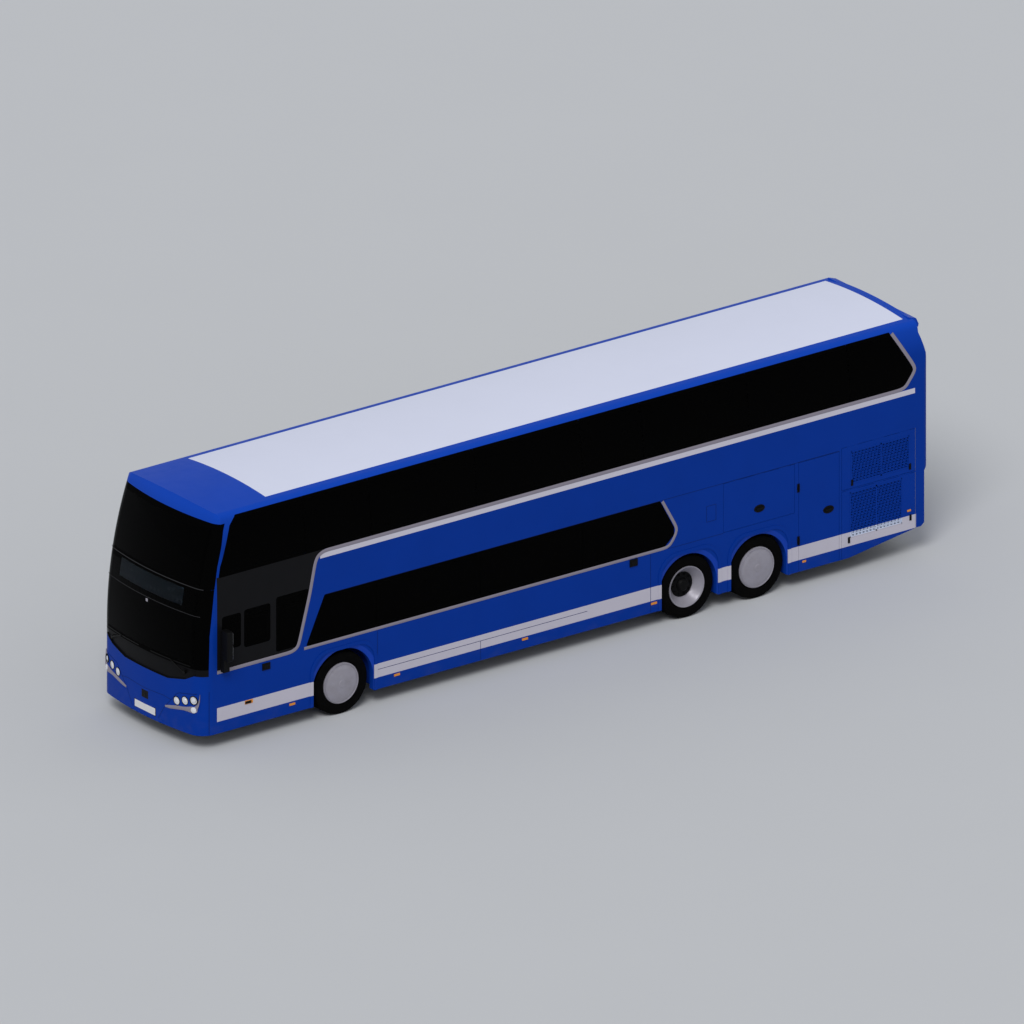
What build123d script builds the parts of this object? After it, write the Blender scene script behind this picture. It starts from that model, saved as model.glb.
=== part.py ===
from build123d import *
import math
import os

os.makedirs("parts", exist_ok=True)

# Double-deck, three-axle coach. Millimetres. +X forward, +Y left, +Z up.
# The origin is on the ground, under the middle of the coach's length and width.

# ---------------------------------------------------------------- overall
LENGTH = 14100.0
WIDTH = 2550.0
HEIGHT = 3880.0
FRONT_X = LENGTH / 2
REAR_X = -LENGTH / 2
HALF_W = WIDTH / 2
WALL = 45.0                # whole thickness of a wall or a door
GLASS = 8.0                # thickness of a pane, bonded flush into the wall
SHUT_GAP = 6.0             # gap around every flap
DOOR_GAP = 8.0             # gap around an entrance door, which moves out and then along
PANE_GAP = 3.0             # gap around every pane
SEAT_GAP = 0.3             # clearance where a curved piece sits on another
FAR = 9000.0               # reach of a cutting tool that goes right through

# ---------------------------------------------------------------- body outline
SKIRT_Z = 265.0            # lower edge of the side panels
KNEE_Z = HEIGHT - 980.0  # the sides lean inwards above this height
TUMBLEHOME_R = 3690.0
CROWN_R = 8938.0           # roof crown, seen from the front
CANT_R = 130.0             # rounding between side and roof
DOME_X = FRONT_X - 6676.0  # axis about which the front face leans back
DOME_Z = 1450.0            # the front face is upright below this height
NOSE_PLAN_R = 6000.0       # bow of the front face, seen from above
NOSE_CORNER_R = 280.0
TAIL_CORNER_R = 110.0
PLAN_EASE = 0.5            # the rounded ends run this far past the flat sides, which trim them
TAIL_STEP = 90.0           # the engine cover sits this far inside the rear window
TAIL_STEP_LOW_Z = 1370.0
TAIL_STEP_HIGH_Z = 1460.0
TAIL_LEAN_Z = HEIGHT - 900.0  # the rear face leans forward above this height
TAIL_TOP_X = REAR_X + 150.0
LIP_LOW_Z = HEIGHT - 240.0  # rear roof lip
LIP_OVERHANG = 130.0
TAIL_SKIRT_Z = 460.0       # rear end of the rising underbody
TAIL_RISE_X = REAR_X + 1540.0  # the underbody starts to rise here
BUMPER_SEAM_X = FRONT_X - 285.0
TAIL_SEAM_X = REAR_X + 240.0
CANT_RAIL_Z = HEIGHT - 115.0  # joint of side and roof
SCREEN_TOP_Z = HEIGHT - 200.0  # joint of windscreen and roof

# ---------------------------------------------------------------- glazing
SCREEN_LOW_Z = 1350.0
SCREEN_SPLIT_Z = HEIGHT - 1235.0
SCREEN_HALF_W = 1175.0     # half width of the opening behind the windscreen
SCREEN_FRAME = 45.0        # overlap of windscreen and frame
SCREEN_TOP_GAP = 10.0      # seal above the upper windscreen
UPPER_GLASS_LOW_Z = HEIGHT - 1050.0
UPPER_GLASS_HIGH_Z = HEIGHT - 122.0
LOWER_GLASS_LOW_Z = 1296.0
LOWER_GLASS_HIGH_Z = 2077.0
PILLAR = 70.0              # width of a body pillar behind the glass
GLASS_JOINT = 8.0          # gap between neighbouring panes
UPPER_JOINTS = (FRONT_X - 2120.0, FRONT_X - 3390.0, 1640.0, -390.0, REAR_X + 5490.0,
                REAR_X + 3460.0, REAR_X + 1520.0)
LOWER_JOINTS = (FRONT_X - 3490.0, 1560.0, -400.0)

# ---------------------------------------------------------------- nose
NOSE_REAR_X = FRONT_X - 1050.0  # everything cut in the nose lies ahead of this
NOSE_DEPTH = 800.0         # length of the round tools that cut it
# lower edge of the sunken band that the wipers park in, from the middle: y, z
COWL_EDGE = ((0.0, 1060.0), (550.0, 1062.0), (930.0, 1149.0), (1110.0, 1245.0), (1140.0, 1250.0))
COWL_TOP_Z = 1335.0
COWL_DEPTH = 26.0
LAMP_DEPTH = 34.0
# head lamps: y, z, radius
HEAD_LAMPS = ((753.0, 741.0, 62.0), (930.0, 791.0, 62.0), (1105.0, 838.0, 62.0),
              (1112.0, 684.0, 48.0))
WIPER_HUB = (920.0, 1262.0)            # y, z
WIPER_HUB_R = 26.0
WIPER_JOINT = (630.0, 1388.0)          # y, z of the joint of arm and blade
WIPER_ARM_W = 16.0         # half width at the hub, full width at the joint
WIPER_ARM_T = 12.0
WIPER_BLADE = (150.0, 1050.0, 8.0)     # y at both ends, half height
BLADE_GAP = 2.0            # from the glass to the blade
BLADE_REACH = 8.0          # from the glass to the blade's outer edge
MIRROR = (FRONT_X - 535.0, 1395.0, 1740.0)      # middle of a mirror housing
MIRROR_SIZE = (110.0, 190.0, 490.0)
MIRROR_ROUND = 24.0
MIRROR_STEM = (FRONT_X - 590.0, FRONT_X - 480.0, 1300.0, 1385.0, 1290.0, 1520.0)
MIRROR_FOOT_Z = (1325.0, 1425.0)

# ---------------------------------------------------------------- wheels
TYRE_R = 510.0
TYRE_W = 290.0
TYRE_BEAD_R = 332.0
TYRE_OUTER_Y = 1235.0
TYRE_FACETS = 44
# section of a tyre: radius to the middle of a facet, offset from the middle plane
TYRE_SECTION = ((TYRE_BEAD_R, -115.0), (400.0, -TYRE_W / 2), (480.0, -140.0), (TYRE_R, -112.0),
                (TYRE_R, 112.0), (480.0, 140.0), (400.0, TYRE_W / 2), (TYRE_BEAD_R, 115.0))
TWIN_PITCH = 325.0
FRONT_AXLE_X = FRONT_X - 2850.0
DRIVE_AXLE_X = REAR_X + 4610.0
TAG_AXLE_X = REAR_X + 3270.0
KINGPIN_Y = 1030.0
WHEEL_Y = TYRE_OUTER_Y - TYRE_W / 2
ARCH_TOP_Z = 1090.0
ARCH_CORNER_R = 300.0
ARCH_LIP = 60.0            # width of the raised lip round each arch
ARCH_LIP_PROUD = 10.0
# wheel arch: front edge, rear edge
ARCHES = ((FRONT_X - 2277.0, FRONT_X - 3448.0), (REAR_X + 5140.0, REAR_X + 4050.0),
          (REAR_X + 3805.0, REAR_X + 2710.0))

# ---------------------------------------------------------------- floors
LOWER_FLOOR_Z = 380.0
LOWER_FLOOR_T = 80.0
UPPER_FLOOR_Z = 2150.0
UPPER_FLOOR_T = 50.0
BULKHEAD_X = REAR_X + 5170.0  # rear wall of the lower saloon
BULKHEAD_T = 40.0
# front wheel housing: x_rear, x_front, inner y
HOUSING = (FRONT_X - 3490.0, FRONT_X - 2235.0, 600.0)
JACK_PAD_X = FRONT_AXLE_X - 1000.0   # jacking pads under the floor, behind the front wheels
JACK_PAD_Y = 900.0
JACK_PAD = 140.0
JACK_PAD_T = 15.0
TOW_HALF_W = 60.0          # half width of both tow socket blocks
FRONT_TOW_X = FRONT_X - 68.0  # face of the front socket, beside the number plate
FRONT_TOW_Y = 420.0
FRONT_TOW_DEPTH = 120.0    # socket for a tow eye in the front edge of the floor
FRONT_TOW_HOLE_R = 34.0    # the hole in the front panel that leads to it
HOUSING_T = 12.0           # sheet thickness of the wheel housings
HOUSING_TOP_Z = 1140.0

# ---------------------------------------------------------------- side openings
# every zone is x_rear, x_front, z_low, z_high
LOCKER = (REAR_X + 2580.0, REAR_X + 3950.0, 1255.0, 2070.0)
SERVICE_DOOR = (REAR_X + 1720.0, REAR_X + 2505.0, 0.0, 2070.0)
UPPER_FLAP = (REAR_X + 260.0, REAR_X + 1680.0, 1403.0, 2110.0)
LOWER_FLAP = (REAR_X + 260.0, REAR_X + 1680.0, 0.0, 1387.0)
FRONT_DOOR = (FRONT_X - 1600.0, FRONT_X - 700.0, 300.0, 2090.0)
MIDDLE_DOOR = (600.0, 1500.0, 300.0, 2077.0)
REAR_DOOR = (-900.0, 900.0, 560.0, 1350.0)      # y_right, y_left, z_low, z_high
REAR_WINDOW = (-1060.0, 1060.0, HEIGHT - 1180.0, HEIGHT - 320.0)
# louvred openings of the engine flaps, same columns
UPPER_GRILLE = (REAR_X + 381.0, REAR_X + 1494.0, 1490.0, 2008.0)
LOWER_GRILLE = (REAR_X + 520.0, REAR_X + 1516.0, 603.0, 1335.0)
GRILLE_DEPTH = 24.0
GRILLE_PITCH = 46.0
GRILLE_BAR = 40.0          # width of the bar in the middle of a grille
SLAT_T = 8.0
SLAT_SLOPE = 22.0          # the slats' outer edges hang this much lower

# ---------------------------------------------------------------- running gear
RIM_T = 16.0
HUB_R = 110.0
SPINDLE_R = 45.0
TOW_BORE_R = 20.0          # both tow sockets
BEAM_LOW_Z = 200.0
BEAM_HIGH_Z = 290.0
BEAM_DEPTH = 100.0
KINGPIN_R = 26.0
RAIL_Y = 500.0             # middle of a frame rail
RAIL_W = 80.0
RAIL_LOW_Z = 640.0
RAIL_HIGH_Z = 800.0
CROSS_HIGH_Z = 720.0
ENGINE = (REAR_X + 700.0, REAR_X + 2000.0, 440.0, 700.0)       # x_rear, x_front, half width, height

# ---------------------------------------------------------------- seats
SEAT_PITCH = 800.0
SEAT_W = 900.0
SEAT_SIDE_Y = 1170.0       # outer edge of a double seat
SEAT_DEPTH = 470.0
CUSHION_LOW = 330.0        # above the floor
CUSHION_T = 130.0
BACK_TOP = 1080.0
BACK_T = 110.0
BACK_LEAN = 150.0
UPPER_FIRST_X = FRONT_X - 1800.0
LOWER_FIRST_X = FRONT_AXLE_X - 1300.0
STAIR = (120.0, 1730.0, 560.0, 1200.0)          # x_rear, x_front, y_low, y_high
STAIR_STEPS = 8

# ---------------------------------------------------------------- doors and flaps
# strap hinges of the service door: height of the middle, half height
STRAP_HINGES = ((1655.0, 65.0), (780.0, 70.0))
STRAP_R = 9.0
STRAP_T = 5.0
STRAP_W = 48.0
GAP_HINGE_R = SHUT_GAP / 2             # slim hinge barrels hidden in the shut line
GAP_HINGE_LENGTH = 200.0
GAP_HINGE_DROP = GAP_HINGE_R + SEAT_GAP
GAP_HINGE_SHARES = (0.15, 0.5, 0.85)   # places of the barrels along the upper edge
DOOR_FRAME = 70.0
DOOR_PANE_LOW = 160.0      # the door's pane starts this far above its lower edge
ARM_R = 500.0              # reach of a door arm
ARM_Y = HALF_W - 100.0     # the arm's pillar stands this far out
ARM_JAMB = 75.0            # from the front jamb to the pillar
PILLAR_R = 22.0
ARM_TUBE_R = 14.0
# heights of a door arm's two bars above the floor
ARM_BARS = (60.0, 1640.0)
ARM_BOSS_R = 20.0
ARM_BOSS_H = 60.0

# ---------------------------------------------------------------- cab and displays
HEADER_LOW_Z = HEIGHT - 1660.0  # lower edge of the panel that holds the route display
DISPLAY = (800.0, HEIGHT - 1570.0, HEIGHT - 1260.0, 40.0)     # half width, z_low, z_high, depth
CAB_FLOOR_Z = 560.0
CAB_FRONT_X = FRONT_X - 750.0
CAB_SIDE_Y = 250.0
DRIVER = (FRONT_X - 1800.0, 720.0)
DASH_X = (FRONT_X - 720.0, FRONT_X - 570.0, FRONT_X - 150.0)      # rear edge, ridge, front of the plinth
DASH_Y = (-380.0, 1150.0)
DASH_Z = (1010.0, 1160.0, 1245.0)      # underside, rear brow, top
WHEEL_RIM_R = 235.0
WHEEL_TILT = -35.0
STEER_AT = (FRONT_X - 910.0, 720.0, 1290.0)

# ---------------------------------------------------------------- roof lip and small lamps
LIP_HALF_W = 1030.0
# tail lamps: y_low, y_high, z_low, z_high
TAIL_LAMPS = ((1100.0, 1205.0, 640.0, 900.0), (1100.0, 1205.0, 920.0, 1180.0))
# side lamps: x, z, length, height
SIDE_LAMPS = ((FRONT_X - 1871.0, 414.0, 110.0, 36.0), (FRONT_X - 3883.0, 419.0, 110.0, 36.0),
              (710.0, 420.0, 110.0, 36.0), (REAR_X + 5283.0, 415.0, 110.0, 36.0),
              (FRONT_X - 1039.0, 654.0, 150.0, 60.0))
SIDE_LAMP_PROUD = 8.0

# ---------------------------------------------------------------- axles and frame
PIN_HALF_H = 95.0
EAR_T = 26.0
EYE_H = 90.0
# cross members: x, half length
CROSS_MEMBERS = ((REAR_X + 5030.0, 440.0), (REAR_X + 3930.0, 1230.0), (REAR_X + 2545.0, 1230.0),
                 (REAR_X + 1940.0, 440.0), (REAR_X + 1700.0, 1230.0), (REAR_X + 750.0, 440.0),
                 (REAR_X + 250.0, 1230.0))
CROSS_W = 18.0
TOW_LENGTH = 90.0
TOW_Z = 425.0


def outline(points, radius=0.0):
    """A closed polygon in the XY plane, its corners rounded."""
    face = make_face(Polyline(*points, close=True))
    if radius:
        face = fillet(face.vertices(), radius)
    return face


def side_prism(face, y_low, y_high):
    """An outline drawn in X and Z, swept across the coach from y_low to y_high."""
    return extrude(Pos(0, y_high, 0) * Rot(90, 0, 0) * face, amount=y_high - y_low)


def through(points, radius=0.0):
    return side_prism(outline(points, radius), -FAR, FAR)


def block(x0, x1, y0, y1, z0, z1):
    """A box between two values on each axis."""
    size = (abs(x1 - x0), abs(y1 - y0), abs(z1 - z0))
    return Pos((x0 + x1) / 2, (y0 + y1) / 2, (z0 + z1) / 2) * Box(*size)


def rect(x0, x1, z0, z1):
    return ((x0, z0), (x1, z0), (x1, z1), (x0, z1))


def mirrored(shape):
    """The same piece on the other side of the coach."""
    return mirror(shape, Plane.XZ)


def parts_of(*shapes):
    """Several separate solids kept as one piece."""
    solids = []
    for shape in shapes:
        solids.extend(shape.solids())
    return Compound(children=solids) if len(solids) > 1 else solids[0]


# ---------------------------------------------------------------- the envelope
def cross_section(inset):
    """YZ outline of the body: upright flank, leaning upper side, crowned roof."""
    lean_r = TUMBLEHOME_R - inset
    lean_y = HALF_W - TUMBLEHOME_R
    crown_r = CROWN_R - inset
    crown_z = HEIGHT - CROWN_R
    low_z = -FAR / 10
    z = HEIGHT
    for _ in range(40):
        y = lean_y + math.sqrt(lean_r ** 2 - (z - KNEE_Z) ** 2)
        z = crown_z + math.sqrt(crown_r ** 2 - y ** 2)
    half_angle = math.asin((z - KNEE_Z) / lean_r) / 2
    mid_y = lean_y + lean_r * math.cos(half_angle)
    mid_z = KNEE_Z + lean_r * math.sin(half_angle)
    side_y = HALF_W - inset
    edges = [
        Line((-side_y, low_z), (side_y, low_z)),
        Line((side_y, low_z), (side_y, KNEE_Z)),
        ThreePointArc((side_y, KNEE_Z), (mid_y, mid_z), (y, z)),
        ThreePointArc((y, z), (0, crown_z + crown_r), (-y, z)),
        ThreePointArc((-y, z), (-mid_y, mid_z), (-side_y, KNEE_Z)),
        Line((-side_y, KNEE_Z), (-side_y, low_z)),
    ]
    face = make_face(edges)
    corners = [v for v in face.vertices() if v.Y > KNEE_Z + 1]
    return fillet(corners, CANT_R - inset)


def nose_plan(inset):
    """Outline of the front end from above, ahead of the axis it leans about."""
    bow_r = NOSE_PLAN_R - inset
    corner_r = NOSE_CORNER_R - inset
    bow_x = FRONT_X - NOSE_PLAN_R
    half_w = HALF_W + PLAN_EASE
    corner_y = half_w - NOSE_CORNER_R
    reach = NOSE_PLAN_R - NOSE_CORNER_R
    corner_x = bow_x + math.sqrt(reach ** 2 - corner_y ** 2)
    angle = math.atan2(corner_y, corner_x - bow_x)
    touch = (bow_x + bow_r * math.cos(angle), bow_r * math.sin(angle))
    half = (angle + math.pi / 2) / 2
    mid = (corner_x + corner_r * math.cos(half), corner_y + corner_r * math.sin(half))
    side_y = half_w - inset
    edges = [
        Line((DOME_X, -side_y), (corner_x, -side_y)),
        ThreePointArc((corner_x, -side_y), (mid[0], -mid[1]), (touch[0], -touch[1])),
        ThreePointArc((touch[0], -touch[1]), (bow_x + bow_r, 0), touch),
        ThreePointArc(touch, mid, (corner_x, side_y)),
        Line((corner_x, side_y), (DOME_X, side_y)),
        Line((DOME_X, side_y), (DOME_X, -side_y)),
    ]
    return make_face(edges)


def tail_profile(inset):
    """Side view of everything behind the front dome."""
    top_z = HEIGHT + 2 * CANT_R
    low_z = -FAR / 10
    mid = ((REAR_X + TAIL_TOP_X) / 2 - 22, (TAIL_LEAN_Z + LIP_LOW_Z) / 2 + 30)
    edges = [
        Line((DOME_X + 1000, low_z), (REAR_X + TAIL_STEP, low_z)),
        Line((REAR_X + TAIL_STEP, low_z), (REAR_X + TAIL_STEP, TAIL_STEP_LOW_Z)),
        Line((REAR_X + TAIL_STEP, TAIL_STEP_LOW_Z), (REAR_X, TAIL_STEP_HIGH_Z)),
        Line((REAR_X, TAIL_STEP_HIGH_Z), (REAR_X, TAIL_LEAN_Z)),
        ThreePointArc((REAR_X, TAIL_LEAN_Z), mid, (TAIL_TOP_X, LIP_LOW_Z)),
        Line((TAIL_TOP_X, LIP_LOW_Z), (TAIL_TOP_X, top_z)),
        Line((TAIL_TOP_X, top_z), (DOME_X + 1000, top_z)),
        Line((DOME_X + 1000, top_z), (DOME_X + 1000, low_z)),
    ]
    face = make_face(edges)
    return offset(face, amount=-inset, kind=Kind.INTERSECTION) if inset else face


def tail_plan(inset):
    side_y = HALF_W + PLAN_EASE - inset
    face = outline(((DOME_X, -side_y), (REAR_X + inset, -side_y),
                    (REAR_X + inset, side_y), (DOME_X, side_y)))
    corners = [v for v in face.vertices() if v.X < 0]
    return fillet(corners, TAIL_CORNER_R - inset)


def envelope(inset):
    """The closed outer form of the body, or the same form a wall's depth inside it."""
    low_z = -FAR / 10
    plan = nose_plan(inset)
    upright = extrude(Pos(0, 0, low_z) * plan, amount=DOME_Z - low_z)
    leaning = revolve(Pos(0, 0, DOME_Z) * plan, Axis((DOME_X, 0, DOME_Z), (0, -1, 0)),
                      revolution_arc=90)
    nose = upright + leaning
    tail = side_prism(tail_profile(inset), -FAR, FAR)
    tail &= Pos(0, 0, low_z) * extrude(tail_plan(inset), amount=HEIGHT * 2)
    section = extrude(Plane.YZ.offset(-FAR) * cross_section(inset), amount=2 * FAR)
    return (nose + tail) & section


OUTER = envelope(0.0)
INNER = envelope(WALL)
PANE_BED = envelope(GLASS)

UNDERBODY = through(((FAR, -FAR), (FAR, SKIRT_Z), (TAIL_RISE_X, SKIRT_Z),
                     (TAIL_SEAM_X, TAIL_SKIRT_Z), (REAR_X + TAIL_STEP + 60, TAIL_SKIRT_Z),
                     (REAR_X, TAIL_SKIRT_Z + 140), (-FAR, TAIL_SKIRT_Z + 140), (-FAR, -FAR)))
SHELL = OUTER - INNER - UNDERBODY
GLASS_SKIN = OUTER - PANE_BED
CABIN = envelope(WALL + SEAT_GAP)      # room left inside for floors and consoles

# side view zones in which the shell is split
PILLAR_LINE = ((BUMPER_SEAM_X, SCREEN_LOW_Z), (FRONT_X - 300.0, 1900),
               (FRONT_X - 385.0, HEIGHT - 1280.0), (FRONT_X - 455.0, HEIGHT - 870.0),
               (FRONT_X - 595.0, HEIGHT - 320.0), (FRONT_X - 645.0, SCREEN_TOP_Z))
NOSE_ZONE = through(((BUMPER_SEAM_X, 0), *PILLAR_LINE, (FAR, SCREEN_TOP_Z), (FAR, 0)))
ROOF_ZONE = through(((-FAR, LIP_LOW_Z), (TAIL_SEAM_X, LIP_LOW_Z), (TAIL_SEAM_X, CANT_RAIL_Z),
                     (FRONT_X - 744.0, CANT_RAIL_Z), PILLAR_LINE[-1], (FAR, SCREEN_TOP_Z),
                     (FAR, FAR), (-FAR, FAR)))
TAIL_ZONE = through(((-FAR, 0), (TAIL_SEAM_X, 0), (TAIL_SEAM_X, LIP_LOW_Z), (-FAR, LIP_LOW_Z)))

LEFT_HALF = block(-FAR, FAR, 0, FAR, 0, FAR)


# ---------------------------------------------------------------- side walls
UPPER_BAND = outline(((FRONT_X - 460.0, UPPER_GLASS_LOW_Z), (FRONT_X - 494.0, HEIGHT - 867.0),
                      (FRONT_X - 720.0, HEIGHT - 260.0), (FRONT_X - 850.0, UPPER_GLASS_HIGH_Z),
                      (REAR_X + 690.0, UPPER_GLASS_HIGH_Z), (REAR_X + 275.0, HEIGHT - 798.0),
                      (REAR_X + 312.0, HEIGHT - 877.0), (REAR_X + 485.0, UPPER_GLASS_LOW_Z)), 18)
LOWER_BAND = outline(((FRONT_X - 2134.0, LOWER_GLASS_LOW_Z), (FRONT_X - 2494.0, LOWER_GLASS_HIGH_Z),
                      (REAR_X + 5162.0, LOWER_GLASS_HIGH_Z), (REAR_X + 4890.0, 1577), (REAR_X + 4890.0, 1453),
                      (REAR_X + 5070.0, LOWER_GLASS_LOW_Z)), 30)
CAB_WINDOWS = (outline(rect(FRONT_X - 890.0, FRONT_X - 525.0, 1610, 2170), 45),
               outline(rect(FRONT_X - 1456.0, FRONT_X - 950.0, 1565, 2190), 45))


def quarter_window(front_x):
    """The window between the cab, or the front door, and the slanted trim."""
    return outline(((front_x, 1345), (front_x, 2250), (FRONT_X - 2200.0, 2250), (FRONT_X - 1960.0, 1345)), 40)


QUARTER_LEFT = quarter_window(FRONT_X - 1565.0)
QUARTER_RIGHT = quarter_window(FRONT_DOOR[0] - PILLAR)


def zone_face(zone, inset=0.0, radius=0.0):
    x0, x1, z0, z1 = zone
    return outline(rect(x0 + inset, x1 - inset, z0 + inset, z1 - inset), radius)


def zone_prism(zone, inset=0.0, radius=0.0):
    return side_prism(zone_face(zone, inset, radius), 0, FAR)


def arch_face(front, rear, grow=0.0):
    face = outline(rect(rear - grow, front + grow, 0, ARCH_TOP_Z + grow))
    top = [v for v in face.vertices() if v.Y > 1]
    return fillet(top, ARCH_CORNER_R + grow)


def pane_zone(wall, face, joints=()):
    """Sink a glazing zone into a wall: a shallow bed, and openings between the pillars."""
    wall -= GLASS_SKIN & side_prism(face, 0, FAR)
    hole = side_prism(offset(face, amount=-SCREEN_FRAME), 0, FAR)
    for x in joints:
        hole -= block(x - PILLAR / 2, x + PILLAR / 2, 0, FAR, 0, HEIGHT)
    return wall - hole


def panes(face, joints=()):
    """The glass of one zone, split where neighbouring panes meet."""
    glass = GLASS_SKIN & side_prism(offset(face, amount=-PANE_GAP), 0, FAR)
    half = GLASS_JOINT / 2
    for x in joints:
        glass -= block(x - half, x + half, 0, FAR, 0, HEIGHT)
    return glass


def louvres(panel, zone):
    """Cut a shallow bay into a flap and set sloping slats and a middle bar in it."""
    x0, x1, z0, z1 = zone
    y_out = HALF_W
    y_in = HALF_W - GRILLE_DEPTH
    bay = block(x0, x1, y_in, FAR, z0, z1)
    count = int((z1 - z0) / GRILLE_PITCH)
    pitch = (z1 - z0) / count
    slats = block((x0 + x1 - GRILLE_BAR) / 2, (x0 + x1 + GRILLE_BAR) / 2, y_in, y_out, z0, z1)
    for i in range(count):
        z = z0 + (i + 0.6) * pitch
        section = Polyline((y_in, z + SLAT_SLOPE), (y_in, z + SLAT_SLOPE + SLAT_T),
                           (y_out, z + SLAT_T), (y_out, z), close=True)
        slats += extrude(Plane.YZ.offset(x0) * make_face(section), amount=x1 - x0)
    return panel - bay + (slats & block(x0, x1, y_in, y_out, z0, z1))


strap_x = SERVICE_DOOR[1] - SHUT_GAP / 2
strap_y = HALF_W + STRAP_R

flank = (SHELL - NOSE_ZONE - ROOF_ZONE - TAIL_ZONE) & LEFT_HALF
leaf_stock = flank                     # the doors and flaps are cut out of the same wall
for front, rear in ARCHES:
    lip = side_prism(arch_face(front, rear, ARCH_LIP), HALF_W - WALL / 2, HALF_W + ARCH_LIP_PROUD)
    flank += lip - UNDERBODY
    flank -= side_prism(arch_face(front, rear), 0, FAR)
for zone in (LOCKER, SERVICE_DOOR, UPPER_FLAP, LOWER_FLAP):
    flank -= zone_prism(zone)
for z, half in STRAP_HINGES:
    # the wall's half of a strap hinge: a plate with a short barrel above and below
    for end in (-1, 1):
        z_end = z + end * (half * 0.75 + SEAT_GAP)
        flank += Pos(strap_x, strap_y, z_end) * Cylinder(STRAP_R, half / 2)
        flank += block(strap_x, strap_x + STRAP_W, HALF_W, HALF_W + STRAP_T,
                       z_end - half / 4, z_end + half / 4)
flank = pane_zone(flank, UPPER_BAND, UPPER_JOINTS)
flank = pane_zone(flank, LOWER_BAND, LOWER_JOINTS)
side_wall_left = flank
side_wall_right = pane_zone(flank, QUARTER_RIGHT)
for window in (QUARTER_LEFT, *CAB_WINDOWS):
    side_wall_left = pane_zone(side_wall_left, window)
for zone in (FRONT_DOOR, MIDDLE_DOOR):
    side_wall_right -= zone_prism(zone)
side_wall_right = mirrored(side_wall_right)

upper_glass = panes(UPPER_BAND, UPPER_JOINTS)
lower_glass = panes(LOWER_BAND, LOWER_JOINTS)
cab_glass = [panes(window) for window in (QUARTER_LEFT, *CAB_WINDOWS)]
glass_left = parts_of(lower_glass, upper_glass, *cab_glass)
doorway = zone_prism((MIDDLE_DOOR[0] - PILLAR / 2, MIDDLE_DOOR[1] + GLASS_JOINT,
                      0.0, HEIGHT))
glass_right = mirrored(parts_of(lower_glass - doorway, upper_glass, panes(QUARTER_RIGHT)))


# ---------------------------------------------------------------- doors and flaps
def leaf(zone, gap=SHUT_GAP):
    """A door or flap as thick as the wall, with its running gap all round."""
    return leaf_stock & zone_prism(zone, gap)


def top_hinged(zone):
    """A flap that lifts about hinge barrels along its upper outer edge."""
    x0, x1, _, z1 = zone
    flap = leaf(zone)
    for share in GAP_HINGE_SHARES:
        barrel = Rot(0, 90, 0) * Cylinder(GAP_HINGE_R, GAP_HINGE_LENGTH)
        flap += Pos(x0 + share * (x1 - x0), HALF_W - GAP_HINGE_R, z1 - GAP_HINGE_DROP) * barrel
    return flap


def strap_barrel(z, height):
    return Pos(strap_x, strap_y, z) * Cylinder(STRAP_R, height)


service_door = leaf(SERVICE_DOOR)
for z, half in STRAP_HINGES:
    service_door += strap_barrel(z, half)
    service_door += block(strap_x - STRAP_W, strap_x, HALF_W, HALF_W + STRAP_T,
                          z - half / 2, z + half / 2)
locker = top_hinged(LOCKER)
upper_flap = louvres(top_hinged(UPPER_FLAP), UPPER_GRILLE)
lower_flap = louvres(top_hinged(LOWER_FLAP), LOWER_GRILLE)


def entrance_door(zone):
    """A glazed door leaf on the right side, and its pane."""
    x0, x1, z0, z1 = zone
    face = zone_face((x0 + DOOR_FRAME, x1 - DOOR_FRAME, z0 + DOOR_PANE_LOW, z1 - DOOR_FRAME),
                     0.0, 60)
    door = pane_zone(leaf(zone, DOOR_GAP), face)
    return mirrored(door), mirrored(panes(face))


front_door, front_door_glass = entrance_door(FRONT_DOOR)
middle_door, middle_door_glass = entrance_door(MIDDLE_DOOR)


def door_arm(zone):
    """Pillar inside the doorway with two bars that carry the leaf, right side."""
    x_pillar = zone[1] - ARM_JAMB
    x_pin = x_pillar - ARM_R
    low_z = LOWER_FLOOR_Z + SEAT_GAP
    high_z = UPPER_FLOOR_Z - UPPER_FLOOR_T - SEAT_GAP
    arm = Pos(x_pillar, -ARM_Y, (low_z + high_z) / 2) * Cylinder(PILLAR_R, high_z - low_z)
    pins = []
    for height in ARM_BARS:
        z = LOWER_FLOOR_Z + height
        bar = Rot(0, 90, 0) * Cylinder(ARM_TUBE_R, ARM_R)
        arm += Pos((x_pillar + x_pin) / 2, -ARM_Y, z) * bar
        arm += Pos(x_pin, -ARM_Y, z) * Cylinder(ARM_BOSS_R, ARM_BOSS_H)
        arm -= Pos(x_pin, -ARM_Y, z) * Cylinder(ARM_BOSS_R / 2 + SEAT_GAP, ARM_BOSS_H + 2)
        pins.append((x_pin, z))
    return arm, pins


def door_pins(pins):
    """Pins on the leaf that the arm's bosses turn about, with their brackets."""
    pieces = []
    reach = HALF_W - WALL
    for x, z in pins:
        half = ARM_BOSS_H / 2 + SHUT_GAP
        pin = Pos(x, -ARM_Y, z) * Cylinder(ARM_BOSS_R / 2, 2 * half + 20)
        for end in (-1, 1):
            zc = z + end * (half + 5)
            pin += block(x - 14, x + 14, -reach, -ARM_Y + ARM_BOSS_R, zc - 5, zc + 5)
        pieces.append(pin)
    return pieces


front_arm, front_pins = door_arm(FRONT_DOOR)
middle_arm, middle_pins = door_arm(MIDDLE_DOOR)
for pin in door_pins(front_pins):
    front_door += pin
for pin in door_pins(middle_pins):
    middle_door += pin

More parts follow.
